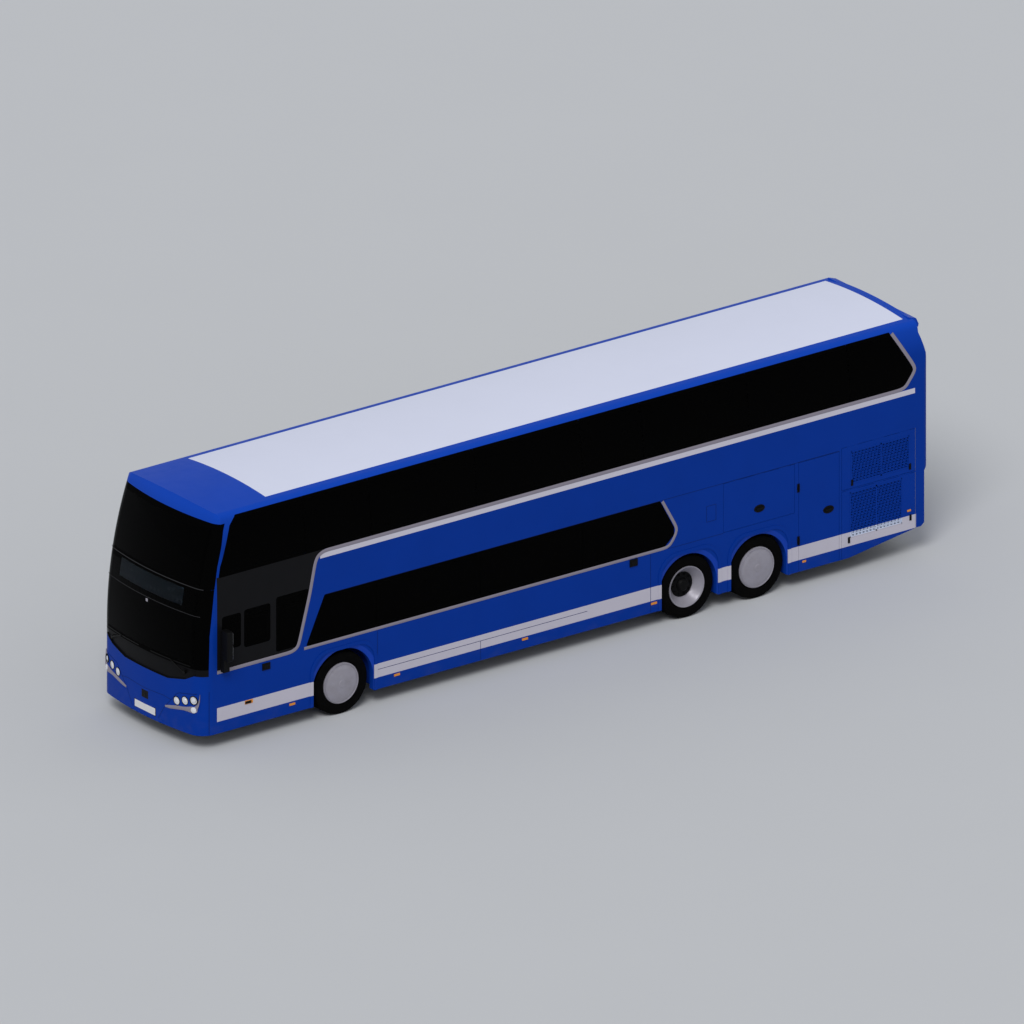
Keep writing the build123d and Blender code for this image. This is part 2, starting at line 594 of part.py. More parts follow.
# ---------------------------------------------------------------- nose
nose = SHELL & NOSE_ZONE
SCREEN_EDGE = [(x + PANE_GAP, z) for x, z in PILLAR_LINE]
SCREEN_ZONE = through((*SCREEN_EDGE, (FAR, SCREEN_TOP_Z), (FAR, SCREEN_LOW_Z)))
SCREEN_ZONE &= block(0, FAR, -FAR, FAR, SCREEN_LOW_Z, SCREEN_TOP_Z - SCREEN_TOP_GAP)
nose -= GLASS_SKIN & SCREEN_ZONE
nose -= block(NOSE_REAR_X, FAR, -SCREEN_HALF_W, SCREEN_HALF_W, SCREEN_LOW_Z + 40, HEADER_LOW_Z)
nose -= block(NOSE_REAR_X, FAR, -SCREEN_HALF_W + 20, SCREEN_HALF_W - 20,
              SCREEN_SPLIT_Z + 45, SCREEN_TOP_Z - 60)
screens = GLASS_SKIN & SCREEN_ZONE
windscreens = parts_of(screens & block(0, FAR, -FAR, FAR, 0, SCREEN_SPLIT_Z),
                       screens & block(0, FAR, -FAR, FAR, SCREEN_SPLIT_Z + GLASS_JOINT, FAR))

COWL_SKIN = OUTER - envelope(COWL_DEPTH)
LAMP_SKIN = OUTER - envelope(LAMP_DEPTH)
for side in (-1, 1):
    edge = [(side * y, z) for y, z in COWL_EDGE]
    bed = Polyline((0, COWL_TOP_Z), *edge, (edge[-1][0], COWL_TOP_Z), close=True)
    nose -= COWL_SKIN & extrude(Plane.YZ.offset(NOSE_REAR_X) * make_face(bed), amount=FAR)

lamps = []
for y, z, r in HEAD_LAMPS:
    for side in (-1, 1):
        bore = Pos(FRONT_X - 200, side * y, z) * Rot(0, 90, 0) * Cylinder(r, NOSE_DEPTH)
        lens = Pos(FRONT_X - 200, side * y, z) * Rot(0, 90, 0) * Cylinder(r - SEAT_GAP, NOSE_DEPTH)
        nose -= LAMP_SKIN & bore
        lamps.append(LAMP_SKIN & lens)
lamps_front = parts_of(*lamps)

# wipers: each arm leans inwards from its hub to a blade that lies along the windscreen
BLADE_SKIN = Pos(BLADE_REACH, 0, 0) * OUTER - Pos(BLADE_GAP, 0, 0) * OUTER
ARM_SKIN = Pos(BLADE_REACH + WIPER_ARM_T, 0, 0) * OUTER - Pos(BLADE_REACH, 0, 0) * OUTER
HUB_SKIN = Pos(BLADE_REACH + WIPER_ARM_T, 0, 0) * OUTER - envelope(COWL_DEPTH - SEAT_GAP)
hub_y, hub_z = WIPER_HUB
joint_y, joint_z = WIPER_JOINT
arm_run = Polyline((hub_y, hub_z - WIPER_ARM_W), (joint_y, joint_z - WIPER_ARM_W / 2),
                   (joint_y, joint_z + WIPER_ARM_W / 2), (hub_y, hub_z + WIPER_ARM_W), close=True)
wiper = HUB_SKIN & Pos(FRONT_X, hub_y, hub_z) * Rot(0, 90, 0) * Cylinder(WIPER_HUB_R, NOSE_DEPTH)
wiper += ARM_SKIN & extrude(Plane.YZ.offset(NOSE_REAR_X) * make_face(arm_run), amount=FAR)
wiper += BLADE_SKIN & block(NOSE_REAR_X, FAR, WIPER_BLADE[0], WIPER_BLADE[1],
                            joint_z - WIPER_BLADE[2], joint_z + WIPER_BLADE[2])
wipers = parts_of(wiper, mirrored(wiper))

DISPLAY_BED = envelope(GLASS + SEAT_GAP) - envelope(GLASS + DISPLAY[3])
display_zone = block(NOSE_REAR_X, FAR, -DISPLAY[0], DISPLAY[0], DISPLAY[1], DISPLAY[2])
nose -= block(NOSE_REAR_X, FAR, -DISPLAY[0], DISPLAY[0], DISPLAY[1], DISPLAY[2])
destination_display = DISPLAY_BED & display_zone

# ---------------------------------------------------------------- roof and tail
lip = through(((TAIL_TOP_X + 60, LIP_LOW_Z), (REAR_X + 25, LIP_LOW_Z + 12),
               (REAR_X + 14, LIP_LOW_Z + 60), (REAR_X + 62, LIP_LOW_Z + 160),
               (TAIL_TOP_X + 60, LIP_LOW_Z + 210)), 8)
roof = SHELL & ROOF_ZONE
roof += lip & block(-FAR, 0, -LIP_HALF_W, LIP_HALF_W, 0, FAR)
tail = SHELL & TAIL_ZONE
window_zone = block(-FAR, TAIL_SEAM_X - 60, *REAR_WINDOW)
tail -= GLASS_SKIN & window_zone
tail -= block(-FAR, TAIL_SEAM_X - 60, REAR_WINDOW[0] + SCREEN_FRAME,
              REAR_WINDOW[1] - SCREEN_FRAME, REAR_WINDOW[2] + SCREEN_FRAME,
              REAR_WINDOW[3] - SCREEN_FRAME)
rear_window = GLASS_SKIN & block(-FAR, TAIL_SEAM_X - 60, REAR_WINDOW[0] + PANE_GAP,
                                 REAR_WINDOW[1] - PANE_GAP, REAR_WINDOW[2] + PANE_GAP,
                                 REAR_WINDOW[3] - PANE_GAP)
rear_door = tail & block(-FAR, TAIL_SEAM_X - 60, REAR_DOOR[0] + SHUT_GAP,
                         REAR_DOOR[1] - SHUT_GAP, REAR_DOOR[2] + SHUT_GAP,
                         REAR_DOOR[3] - SHUT_GAP)
tail -= block(-FAR, TAIL_SEAM_X - 60, *REAR_DOOR)
for share in GAP_HINGE_SHARES:
    y_mid = REAR_DOOR[0] + share * (REAR_DOOR[1] - REAR_DOOR[0])
    barrel = Rot(90, 0, 0) * Cylinder(GAP_HINGE_R, GAP_HINGE_LENGTH)
    rear_door += Pos(REAR_X + TAIL_STEP + GAP_HINGE_R, y_mid, REAR_DOOR[3] - GAP_HINGE_DROP) * barrel
lamps = []
for y0, y1, z0, z1 in TAIL_LAMPS:
    for side in (-1, 1):
        pocket = block(-FAR, TAIL_SEAM_X - 20, side * y0, side * y1, z0, z1)
        lens = block(-FAR, TAIL_SEAM_X - 20, side * (y0 + PANE_GAP), side * (y1 - PANE_GAP),
                     z0 + PANE_GAP, z1 - PANE_GAP)
        tail -= LAMP_SKIN & pocket
        lamps.append(LAMP_SKIN & lens)
lamps_rear = parts_of(*lamps)

lamps = []
for x, z, length, height in SIDE_LAMPS:
    for side in (-1, 1):
        if side < 0 and FRONT_DOOR[0] < x < FRONT_DOOR[1]:
            continue
        lamps.append(block(x - length / 2, x + length / 2, side * HALF_W,
                           side * (HALF_W + SIDE_LAMP_PROUD), z - height / 2, z + height / 2))
lamps_side = parts_of(*lamps)

# ---------------------------------------------------------------- floors
floor_low = LOWER_FLOOR_Z - LOWER_FLOOR_T
lower_floor = CABIN & block(BULKHEAD_X, FAR, -HALF_W, HALF_W, floor_low, LOWER_FLOOR_Z)
bulkhead = block(BULKHEAD_X, BULKHEAD_X + BULKHEAD_T, -HALF_W + WALL, HALF_W - WALL,
                 LOWER_FLOOR_Z, UPPER_FLOOR_Z - UPPER_FLOOR_T)
housings = []
for side in (-1, 1):
    y_in = side * HOUSING[2]
    y_out = side * (HALF_W - WALL)
    shell = block(HOUSING[0] - HOUSING_T, HOUSING[1] + HOUSING_T, y_in - side * HOUSING_T,
                  y_out, floor_low, HOUSING_TOP_Z)
    lower_floor -= shell
    housings.append(shell - block(HOUSING[0], HOUSING[1], y_in, side * HALF_W,
                                  0, HOUSING_TOP_Z - HOUSING_T))
    lower_floor += block(JACK_PAD_X - JACK_PAD / 2, JACK_PAD_X + JACK_PAD / 2,
                         side * JACK_PAD_Y - JACK_PAD / 2, side * JACK_PAD_Y + JACK_PAD / 2,
                         floor_low - JACK_PAD_T, LOWER_FLOOR_Z)
saloon_walls = parts_of(bulkhead, *housings)

front_edge = FRONT_X - WALL - SEAT_GAP
front_tow = block(FRONT_TOW_X - FRONT_TOW_DEPTH, FRONT_TOW_X, FRONT_TOW_Y - TOW_HALF_W,
                  FRONT_TOW_Y + TOW_HALF_W, floor_low, LOWER_FLOOR_Z)
lower_floor -= block(FRONT_TOW_X - FRONT_TOW_DEPTH, FAR, FRONT_TOW_Y - TOW_HALF_W,
                     FRONT_TOW_Y + TOW_HALF_W, floor_low - 1, LOWER_FLOOR_Z + 1)
tow_axis = Pos(FRONT_TOW_X, FRONT_TOW_Y, LOWER_FLOOR_Z - LOWER_FLOOR_T / 2) * Rot(0, 90, 0)
front_tow -= tow_axis * Cylinder(TOW_BORE_R, 2 * FRONT_TOW_DEPTH + 2)
nose -= tow_axis * Cylinder(FRONT_TOW_HOLE_R, 2 * FRONT_TOW_DEPTH)

REAR_FLOOR_X = TAIL_SEAM_X - 60
upper_floor = CABIN & block(REAR_FLOOR_X, FAR, -HALF_W, HALF_W,
                            UPPER_FLOOR_Z - UPPER_FLOOR_T, UPPER_FLOOR_Z)
upper_floor -= block(STAIR[0] - 20, STAIR[1] - 250, STAIR[2] - 20, HALF_W - WALL,
                     0, FAR)

step_run = (STAIR[1] - STAIR[0]) / (STAIR_STEPS - 1)
step_rise = (UPPER_FLOOR_Z - LOWER_FLOOR_Z) / STAIR_STEPS
steps = [(STAIR[1], LOWER_FLOOR_Z)]
for i in range(STAIR_STEPS - 1):
    x = STAIR[1] - i * step_run
    z = LOWER_FLOOR_Z + (i + 1) * step_rise
    steps += [(x, z), (x - step_run, z)]
steps += [(STAIR[0], LOWER_FLOOR_Z + (STAIR_STEPS - 2.4) * step_rise), (STAIR[1] - 260, LOWER_FLOOR_Z)]
staircase = side_prism(outline(steps), STAIR[2], STAIR[3])


# ---------------------------------------------------------------- seats
def double_seat(x, y, floor_z):
    """Two passenger seats side by side on one pedestal, facing forward."""
    z = floor_z + CUSHION_LOW
    profile = outline(((x, z), (x + SEAT_DEPTH, z + 20), (x + SEAT_DEPTH, z + CUSHION_T + 10),
                       (x + BACK_T, z + CUSHION_T), (x + BACK_T - BACK_LEAN, floor_z + BACK_TOP),
                       (x - BACK_LEAN, floor_z + BACK_TOP)), 25)
    seat = side_prism(profile, y - SEAT_W / 2, y + SEAT_W / 2)
    return seat + block(x + 120, x + 300, y - 60, y + 60, floor_z, z + 60)


def seat_rows(first_x, last_x, floor_z, left_gap, right_gap):
    """Rows of double seats; none stand between the two ends of the gap on their side."""
    seats = []
    for row in range(1 + int((first_x - last_x - SEAT_DEPTH) / SEAT_PITCH)):
        x = first_x - row * SEAT_PITCH
        for side, gap in ((-1, right_gap), (1, left_gap)):
            if gap[0] < x < gap[1]:
                continue
            seats.append(double_seat(x, side * (SEAT_SIDE_Y - SEAT_W / 2), floor_z))
    return parts_of(*seats)


stairwell = (STAIR[0], STAIR[1])
doorway_bay = (STAIR[0], STAIR[1] + SEAT_DEPTH)
seats_upper = seat_rows(UPPER_FIRST_X, TAIL_SEAM_X, UPPER_FLOOR_Z, stairwell, (0, 0))
seats_lower = seat_rows(LOWER_FIRST_X, BULKHEAD_X, LOWER_FLOOR_Z, doorway_bay, doorway_bay)

lower_floor += block(HOUSING[1] + HOUSING_T, CAB_FRONT_X, CAB_SIDE_Y, HALF_W - WALL,
                     LOWER_FLOOR_Z, CAB_FLOOR_Z)
x, y = DRIVER
z = CAB_FLOOR_Z
driver_profile = outline(((x, z + 330), (x + 500, z + 350), (x + 500, z + 470), (x + 110, z + 460),
                          (x - 60, z + 1150), (x - 170, z + 1150)), 25)
driver_seat = side_prism(driver_profile, y - 260, y + 260)
driver_seat += block(x + 120, x + 380, y - 140, y + 140, z, z + 400)

dash_rear, dash_ridge, dash_front = DASH_X
dash_low, dash_brow, dash_top = DASH_Z
dashboard = CABIN & side_prism(outline(((dash_rear, dash_low), (dash_rear, dash_brow),
                                        (dash_ridge, dash_top), (FAR, dash_top),
                                        (FAR, dash_low))), DASH_Y[0], DASH_Y[1] + 30)
dashboard += CABIN & block(dash_ridge, dash_front, *DASH_Y, LOWER_FLOOR_Z, dash_low)
steering_wheel = Torus(WHEEL_RIM_R, 16) + Pos(0, 0, -30) * Cylinder(60, 50)
for angle in (90, 210, 330):
    spoke = Pos(WHEEL_RIM_R / 2, 0, -14) * Box(WHEEL_RIM_R, 40, 14)
    steering_wheel += Rot(0, 0, angle) * spoke
column = Pos(0, 0, -55 - SEAT_GAP - 150) * Cylinder(40, 300)
steering_wheel = Pos(*STEER_AT) * Rot(0, WHEEL_TILT, 0) * steering_wheel
dashboard += Pos(*STEER_AT) * Rot(0, WHEEL_TILT, 0) * column


# ---------------------------------------------------------------- running gear
def turned(points, x, y, side, radius=0.0):
    """Revolve an r, y outline about a wheel's axis; y grows outwards on that side."""
    face = outline([(r, side * (y + w)) for r, w in points], radius)
    ring = revolve(face, Axis.Y, 360)
    return Pos(x, 0, TYRE_R) * ring


def tyre(x, y):
    """A tyre of flat facets, its section carried round the wheel's axis in equal steps."""
    grow = 1 / math.cos(math.pi / TYRE_FACETS)
    rings = []
    for k in range(TYRE_FACETS):
        angle = 2 * math.pi * (k + 0.5) / TYRE_FACETS
        rings.append([(x + r * grow * math.sin(angle), y + w, TYRE_R + r * grow * math.cos(angle))
                      for r, w in TYRE_SECTION])
    faces = []
    for near, far in zip(rings, rings[1:] + rings[:1]):
        for i in range(len(near)):
            faces.append(Face(Wire.make_polygon((near[i - 1], near[i], far[i], far[i - 1]))))
    return Solid(Shell(faces))


rim_out = TYRE_BEAD_R - SEAT_GAP
rim_in = rim_out - RIM_T
bore = SPINDLE_R + SEAT_GAP
SINGLE_RIM = ((bore, 20), (bore, 125), (0, 125), (0, 176), (120, 172), (240, 160), (rim_out, 138),
              (rim_out, -135), (rim_in, -135), (rim_in, 122), (220, 140), (HUB_R, 142),
              (HUB_R, 20))
TWIN_BORE_R = 75.0
twin_bore = TWIN_BORE_R + SEAT_GAP
TWIN_RIM = ((twin_bore, -220), (twin_bore, 0), (0, 0), (0, 60), (75, 60), (95, 40), (HUB_R, -120),
            (rim_in, -150), (rim_in, 132), (rim_out, 138), (rim_out, -TWIN_PITCH - 135),
            (rim_in, -TWIN_PITCH - 135), (rim_in, -190), (HUB_R, -170), (HUB_R, -220))

wheels = {}
for label, side in (("left", 1), ("right", -1)):
    for axle, x in (("front", FRONT_AXLE_X), ("tag", TAG_AXLE_X)):
        wheels["tyre_%s_%s" % (axle, label)] = tyre(x, side * WHEEL_Y)
        wheels["rim_%s_%s" % (axle, label)] = turned(SINGLE_RIM, x, WHEEL_Y, side)
    outer = tyre(DRIVE_AXLE_X, side * WHEEL_Y)
    inner = tyre(DRIVE_AXLE_X, side * (WHEEL_Y - TWIN_PITCH))
    wheels["tyres_drive_" + label] = parts_of(outer, inner)
    wheels["rim_drive_" + label] = turned(TWIN_RIM, DRIVE_AXLE_X, WHEEL_Y, side)

beam = side_prism(outline(rect(FRONT_AXLE_X - BEAM_DEPTH / 2, FRONT_AXLE_X + BEAM_DEPTH / 2,
                               BEAM_LOW_Z, BEAM_HIGH_Z)), -600, 600)
for side in (-1, 1):
    rise = outline(((560, BEAM_LOW_Z), (690, BEAM_LOW_Z), (880, 465), (KINGPIN_Y, 465),
                    (KINGPIN_Y, 555), (850, 555), (650, BEAM_HIGH_Z), (560, BEAM_HIGH_Z)))
    arm = extrude(Plane.YZ.offset(FRONT_AXLE_X - 40) * rise, amount=80)
    beam += mirrored(arm) if side < 0 else arm
    eye = Pos(FRONT_AXLE_X, side * KINGPIN_Y, TYRE_R)
    beam += eye * Cylinder(48, EYE_H)
    beam -= eye * Cylinder(KINGPIN_R + SEAT_GAP, 2 * EYE_H)
    beam += block(FRONT_AXLE_X - 90, FRONT_AXLE_X + 90, side * 420, side * 520,
                  BEAM_HIGH_Z - 10, floor_low)
front_axle_beam = beam

knuckle = Cylinder(KINGPIN_R, 2 * PIN_HALF_H)
for end in (-1, 1):
    knuckle += Pos(0, 0, end * (EYE_H / 2 + 1 + EAR_T / 2)) * Cylinder(46, EAR_T)
    knuckle += block(-46, 46, 0, 75, end * (EYE_H / 2 + 1), end * (EYE_H / 2 + 1 + EAR_T))
knuckle += block(-60, 60, 55, 75, -90, 90)
SPINDLE_END = WHEEL_Y + 122 - KINGPIN_Y
knuckle += Pos(0, (70 + SPINDLE_END) / 2, 0) * Rot(90, 0, 0) * Cylinder(SPINDLE_R, SPINDLE_END - 70)
knuckle_left = Pos(FRONT_AXLE_X, KINGPIN_Y, TYRE_R) * knuckle
knuckle_right = mirrored(knuckle_left)


def rear_axle(x, spindle_r, spindle_from, spindle_to, tube_r):
    """A straight axle tube with a spindle at each end and seats under the frame rails."""
    half = spindle_from
    axle = Pos(x, 0, TYRE_R) * Rot(90, 0, 0) * Cylinder(tube_r, 2 * half)
    axle += Pos(x, 0, TYRE_R) * Rot(90, 0, 0) * Cylinder(spindle_r, 2 * spindle_to)
    for side in (-1, 1):
        axle += block(x - 70, x + 70, side * (RAIL_Y - 40), side * (RAIL_Y + 40), TYRE_R, RAIL_LOW_Z)
    return axle


drive_axle = rear_axle(DRIVE_AXLE_X, TWIN_BORE_R, WHEEL_Y - 222, WHEEL_Y - 2, 90)
drive_axle += Pos(DRIVE_AXLE_X, 0, TYRE_R) * Sphere(210)
tag_axle = rear_axle(TAG_AXLE_X, SPINDLE_R, WHEEL_Y - 30, WHEEL_Y + 122, 70)

# ---------------------------------------------------------------- frame and engine
frame = None
for side in (-1, 1):
    rail = block(TAIL_SEAM_X, BULKHEAD_X, side * (RAIL_Y - RAIL_W / 2),
                 side * (RAIL_Y + RAIL_W / 2), RAIL_LOW_Z, RAIL_HIGH_Z)
    frame = rail if frame is None else frame + rail
for x, half in CROSS_MEMBERS:
    half = max(half, RAIL_Y)
    frame += block(x - CROSS_W / 2, x + CROSS_W / 2, -half, half, RAIL_LOW_Z, CROSS_HIGH_Z)
rear_tow = block(TAIL_SEAM_X + 20 - TOW_LENGTH, TAIL_SEAM_X + 20, -TOW_HALF_W, TOW_HALF_W,
                 TOW_Z - 35, RAIL_LOW_Z)
rear_tow -= Pos(TAIL_SEAM_X, 0, TOW_Z) * Rot(0, 90, 0) * Cylinder(TOW_BORE_R, 4 * TOW_LENGTH)
tow_sockets = parts_of(front_tow, rear_tow)
chassis_frame = frame
engine_block = block(ENGINE[0], ENGINE[1], -ENGINE[2], ENGINE[2], CROSS_HIGH_Z,
                     CROSS_HIGH_Z + ENGINE[3])

# ---------------------------------------------------------------- mirrors
housing = fillet(Box(*MIRROR_SIZE).edges(), MIRROR_ROUND)
mirror_left = Pos(*MIRROR) * housing
mirror_left += block(*MIRROR_STEM)
mirror_left += block(MIRROR_STEM[0] + MIRROR_ROUND, MIRROR_STEM[1] - MIRROR_ROUND, HALF_W,
                     MIRROR_STEM[2], *MIRROR_FOOT_Z)
mirrors = parts_of(mirror_left, mirrored(mirror_left))

NODES = {
    "side_wall_left": side_wall_left, "side_wall_right": side_wall_right,
    "front_panel": nose, "windscreens": windscreens, "roof": roof, "rear_panel": tail,
    "rear_window": rear_window, "glass_left": glass_left, "glass_right": glass_right,
    "lower_saloon_floor": lower_floor, "saloon_walls": saloon_walls,
    "upper_deck_floor": upper_floor, "staircase": staircase, "tow_sockets": tow_sockets,
    "seats_lower": seats_lower, "seats_upper": seats_upper, "driver_seat": driver_seat,
    "dashboard": dashboard, "steering_wheel": steering_wheel,
    "destination_display": destination_display, "engine_block": engine_block,
    "chassis_frame": chassis_frame, "front_axle_beam": front_axle_beam,
    "knuckle_left": knuckle_left, "knuckle_right": knuckle_right,
    "drive_axle": drive_axle, "tag_axle": tag_axle,
    "front_door": front_door, "front_door_glass": front_door_glass, "front_door_arm": front_arm,
    "middle_door": middle_door, "middle_door_glass": middle_door_glass,
    "middle_door_arm": middle_arm, "locker_door_left": locker,
    "locker_door_right": mirrored(locker), "service_door_left": service_door,
    "service_door_right": mirrored(service_door), "upper_flap_left": upper_flap,
    "upper_flap_right": mirrored(upper_flap), "lower_flap_left": lower_flap,
    "lower_flap_right": mirrored(lower_flap), "engine_door": rear_door, "mirrors": mirrors,
    "lamps_front": lamps_front, "lamps_side": lamps_side, "lamps_rear": lamps_rear,
    "wipers": wipers,
}
NODES.update(wheels)
for name, shape in NODES.items():
    export_step(shape, "parts/%s.step" % name)
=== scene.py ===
"""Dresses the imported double-deck coach: paint, glazing, trims, lamps, tyres, seats and studio.

Everything is in metres in the coach's own frame: +X forward, +Y left, +Z up, ground at Z 0.
"""

import math

import bmesh
import bpy
from mathutils import Matrix, Vector
from mathutils.bvhtree import BVHTree


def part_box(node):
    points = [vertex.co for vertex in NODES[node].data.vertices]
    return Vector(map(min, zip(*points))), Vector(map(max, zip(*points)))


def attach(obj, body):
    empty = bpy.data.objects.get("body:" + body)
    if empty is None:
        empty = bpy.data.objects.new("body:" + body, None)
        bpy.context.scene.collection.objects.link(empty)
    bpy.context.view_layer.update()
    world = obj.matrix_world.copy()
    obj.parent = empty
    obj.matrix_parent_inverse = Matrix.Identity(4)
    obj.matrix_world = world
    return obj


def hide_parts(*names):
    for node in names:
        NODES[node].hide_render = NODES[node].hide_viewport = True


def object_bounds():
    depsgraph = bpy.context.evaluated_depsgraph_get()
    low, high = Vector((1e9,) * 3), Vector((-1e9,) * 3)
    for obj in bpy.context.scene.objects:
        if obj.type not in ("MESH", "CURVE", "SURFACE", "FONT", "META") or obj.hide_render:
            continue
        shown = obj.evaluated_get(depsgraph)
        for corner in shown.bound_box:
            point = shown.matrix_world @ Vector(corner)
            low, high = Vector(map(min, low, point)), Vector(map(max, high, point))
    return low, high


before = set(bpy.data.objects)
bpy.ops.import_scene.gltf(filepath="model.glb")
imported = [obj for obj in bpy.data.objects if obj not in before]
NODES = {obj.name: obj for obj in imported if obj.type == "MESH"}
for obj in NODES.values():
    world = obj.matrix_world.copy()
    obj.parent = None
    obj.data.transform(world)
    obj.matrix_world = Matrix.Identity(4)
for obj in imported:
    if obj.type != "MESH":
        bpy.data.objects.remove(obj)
CAD_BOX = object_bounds()
SIDES = (("left", 1), ("right", -1))

# ------------------------------------------------------------------ the view
VIEW_DIRECTION = Vector((3.0, 4.0, 2.0)).normalized()
VIEW_SCALE = 15.73             # width of the picture at the coach
VIEW_DISTANCE = 40.0

# ------------------------------------------------------------------ the body
HALF_W = 1.275
FRONT_X = 7.05
BEVEL_DEPTH = 0.026            # how deep the wheel arches' bevel is
KNEE_Z = 2.9                   # the flanks are upright below this height
FLANK_Y = 1.15                 # what is further out than this belongs to a flank
PILLAR_Y = 1.0                 # inner side of the pillars

# livery bands: x_rear, x_front, z_low, z_high
LOWER_STRIPE = (-6.80, 6.62, 0.460, 0.687)
UPPER_STRIPE = (-6.782, 4.64, 2.689, 2.774)
DARK_PANEL = (4.40, 6.62, 1.300, 2.840)
WHITE_ROOF = (-6.76, 5.478, 3.70, 4.0)
WHITE_ROOF_HALF_W = 0.99
# lower edge of the black cowl: its height in the middle, then (from y, to y, rise) outwards
COWL_MID_Z = 1.056
COWL_RISES = ((0.55, 0.93, 0.087), (0.93, 1.11, 0.096))
COWL_REAR_X = 6.768
# the black strap hinges of the service doors: their place, and (z_low, z_high) of each
HINGE_X = (-4.570, -4.515)
HINGE_HEIGHTS = ((0.71, 0.855), (1.58, 1.725))
# what is black for the glass in front of it or beside it, as bands
LOWER_GLAZING = (-2.1, 6.62, 1.305, 2.068)
UPPER_GLAZING = (-5.6, 5.4, 2.85, 3.735)
GLASS_STEP = 0.003             # how far behind the flank the lower glazing's pillars are
SCREEN_GAP = (6.60, 6.80, 2.635, 2.665)
SCREEN_GAP_HALF_W = 1.232
# the dark panel's slanting rear edge: z_from and z_to of a stretch, then x or its change at each
PANEL_SLANT = ((1.312, 2.17, 5.059, 4.819), (2.17, 2.671, 0.0, -0.10), (2.671, 2.83, 0.0, -0.17))
CANT_Z = (3.0, 3.3, 3.8)       # the cant is painted lighter, a painted highlight where it curves up to the roof: it starts above the first, and is full at the last
ROAD_FILM_Z = (0.75, 0.25)
VEILED_STRIPE = (-6.530, -5.534, 0.603, 0.687)  # the stripe shows bluish through a grille
# borders of the side glass, as z_low and z_high of each pane's row, and their width
GLASS_ROWS = ((2.83, 3.758), (1.296, 2.077))
GLASS_BORDER = 0.05
GLASS_FLANK_Y = 1.12
SCREEN_REAR_X = 6.36
SCREEN_BORDERS = ((0.0, 1.43), (2.56, 2.70), (3.58, 4.0))
SCREEN_BORDER_Y = 1.10
DISPLAY_WINDOW = (0.80, 2.31, 2.60)     # half width, z_low, z_high of the clear window

# silver trims along the flank, as (x, z) down the middle of each
TRIM_W = 0.058
LOWER_TRIM_W = 0.0493
TRIM_PROUD = 0.008
TRIM_FRONT = ((6.62, 1.276), (5.20, 1.276), (5.09, 1.315), (5.045, 1.39), (4.835, 2.17),
              (4.735, 2.65), (4.68, 2.75), (4.56, 2.803), (4.40, 2.803))
TRIM_BELT = ((4.40, 2.803), (-6.50, 2.803), (-6.60, 2.835), (-6.66, 2.905), (-6.765, 3.04),
             (-6.780, 3.10), (-6.745, 3.18), (-6.40, 3.735))
TRIM_LOWER = ((4.95, 1.274), (-1.99, 1.274), (-2.09, 1.31), (-2.195, 1.47), (-2.205, 1.56),
              (-2.12, 1.72), (-1.93, 2.06))

# ------------------------------------------------------------------ colours, linear RGB
BLUE = (0.0015, 0.035, 0.300)
# painted highlight: the body blue made lighter for the cant, where it curves up towards the light
CANT_HIGHLIGHT_BLUE = (0.006, 0.060, 0.47)
SEAM_BLUE = (0.0012, 0.014, 0.11)
# painted highlight: the body blue made lighter on the arches' bevel, where it catches the light
BEVEL_HIGHLIGHT_BLUE = (0.010, 0.052, 0.40)
WHITE_PAINT = (0.73, 0.757, 0.91)
# the stripes are the roof's white paint, darkened as painted shade on the upright flank, the lower
# stripe more than the upper
LOWER_STRIPE_SHADED_WHITE = (0.55, 0.525, 0.605)
UPPER_STRIPE_SHADED_WHITE = (0.615, 0.595, 0.68)
PANEL_BLACK = (0.0078, 0.0078, 0.0090)
COWL_BLACK = (0.0055, 0.0055, 0.0063)
SILVER = (0.30, 0.27, 0.325)
DUST = (0.20, 0.17, 0.14)
LINING = (0.30, 0.31, 0.33)
VEIL_PAINT = (0.58, 0.64, 0.80)
JOINT_GREY = (0.030, 0.030, 0.033)
PLASTIC_BLACK = (0.0030, 0.0030, 0.0033)
SATIN_BLACK = (0.003, 0.003, 0.003)
MIRROR_GREY = (0.78, 0.80, 0.82)
PLATE_WHITE = (0.72, 0.72, 0.74)
STUDIO_GREY = (0.60, 0.61, 0.63)
FRIT = (0.0012, 0.0012, 0.0012)
TINTS = ((0.0015, 0.0018, 0.002), (0.003, 0.0033, 0.0038))
CLEAR_TINT = (0.42, 0.47, 0.51)
TYRE_BLACK = (0.0015, 0.0015, 0.0016)
TYRE_DUST = (0.040, 0.036, 0.032)
WHEEL_SILVER = (0.335, 0.32, 0.37)
BRAKE_DUST = (0.16, 0.13, 0.11)
RUST = (0.11, 0.055, 0.03)
VINYL = (0.05, 0.052, 0.06)
VINYL_FLECK = (0.22, 0.22, 0.24)
DISPLAY_DOTS = ((0.006, 0.009, 0.012), (0.020, 0.032, 0.045))
DOT_PITCH = 0.0125


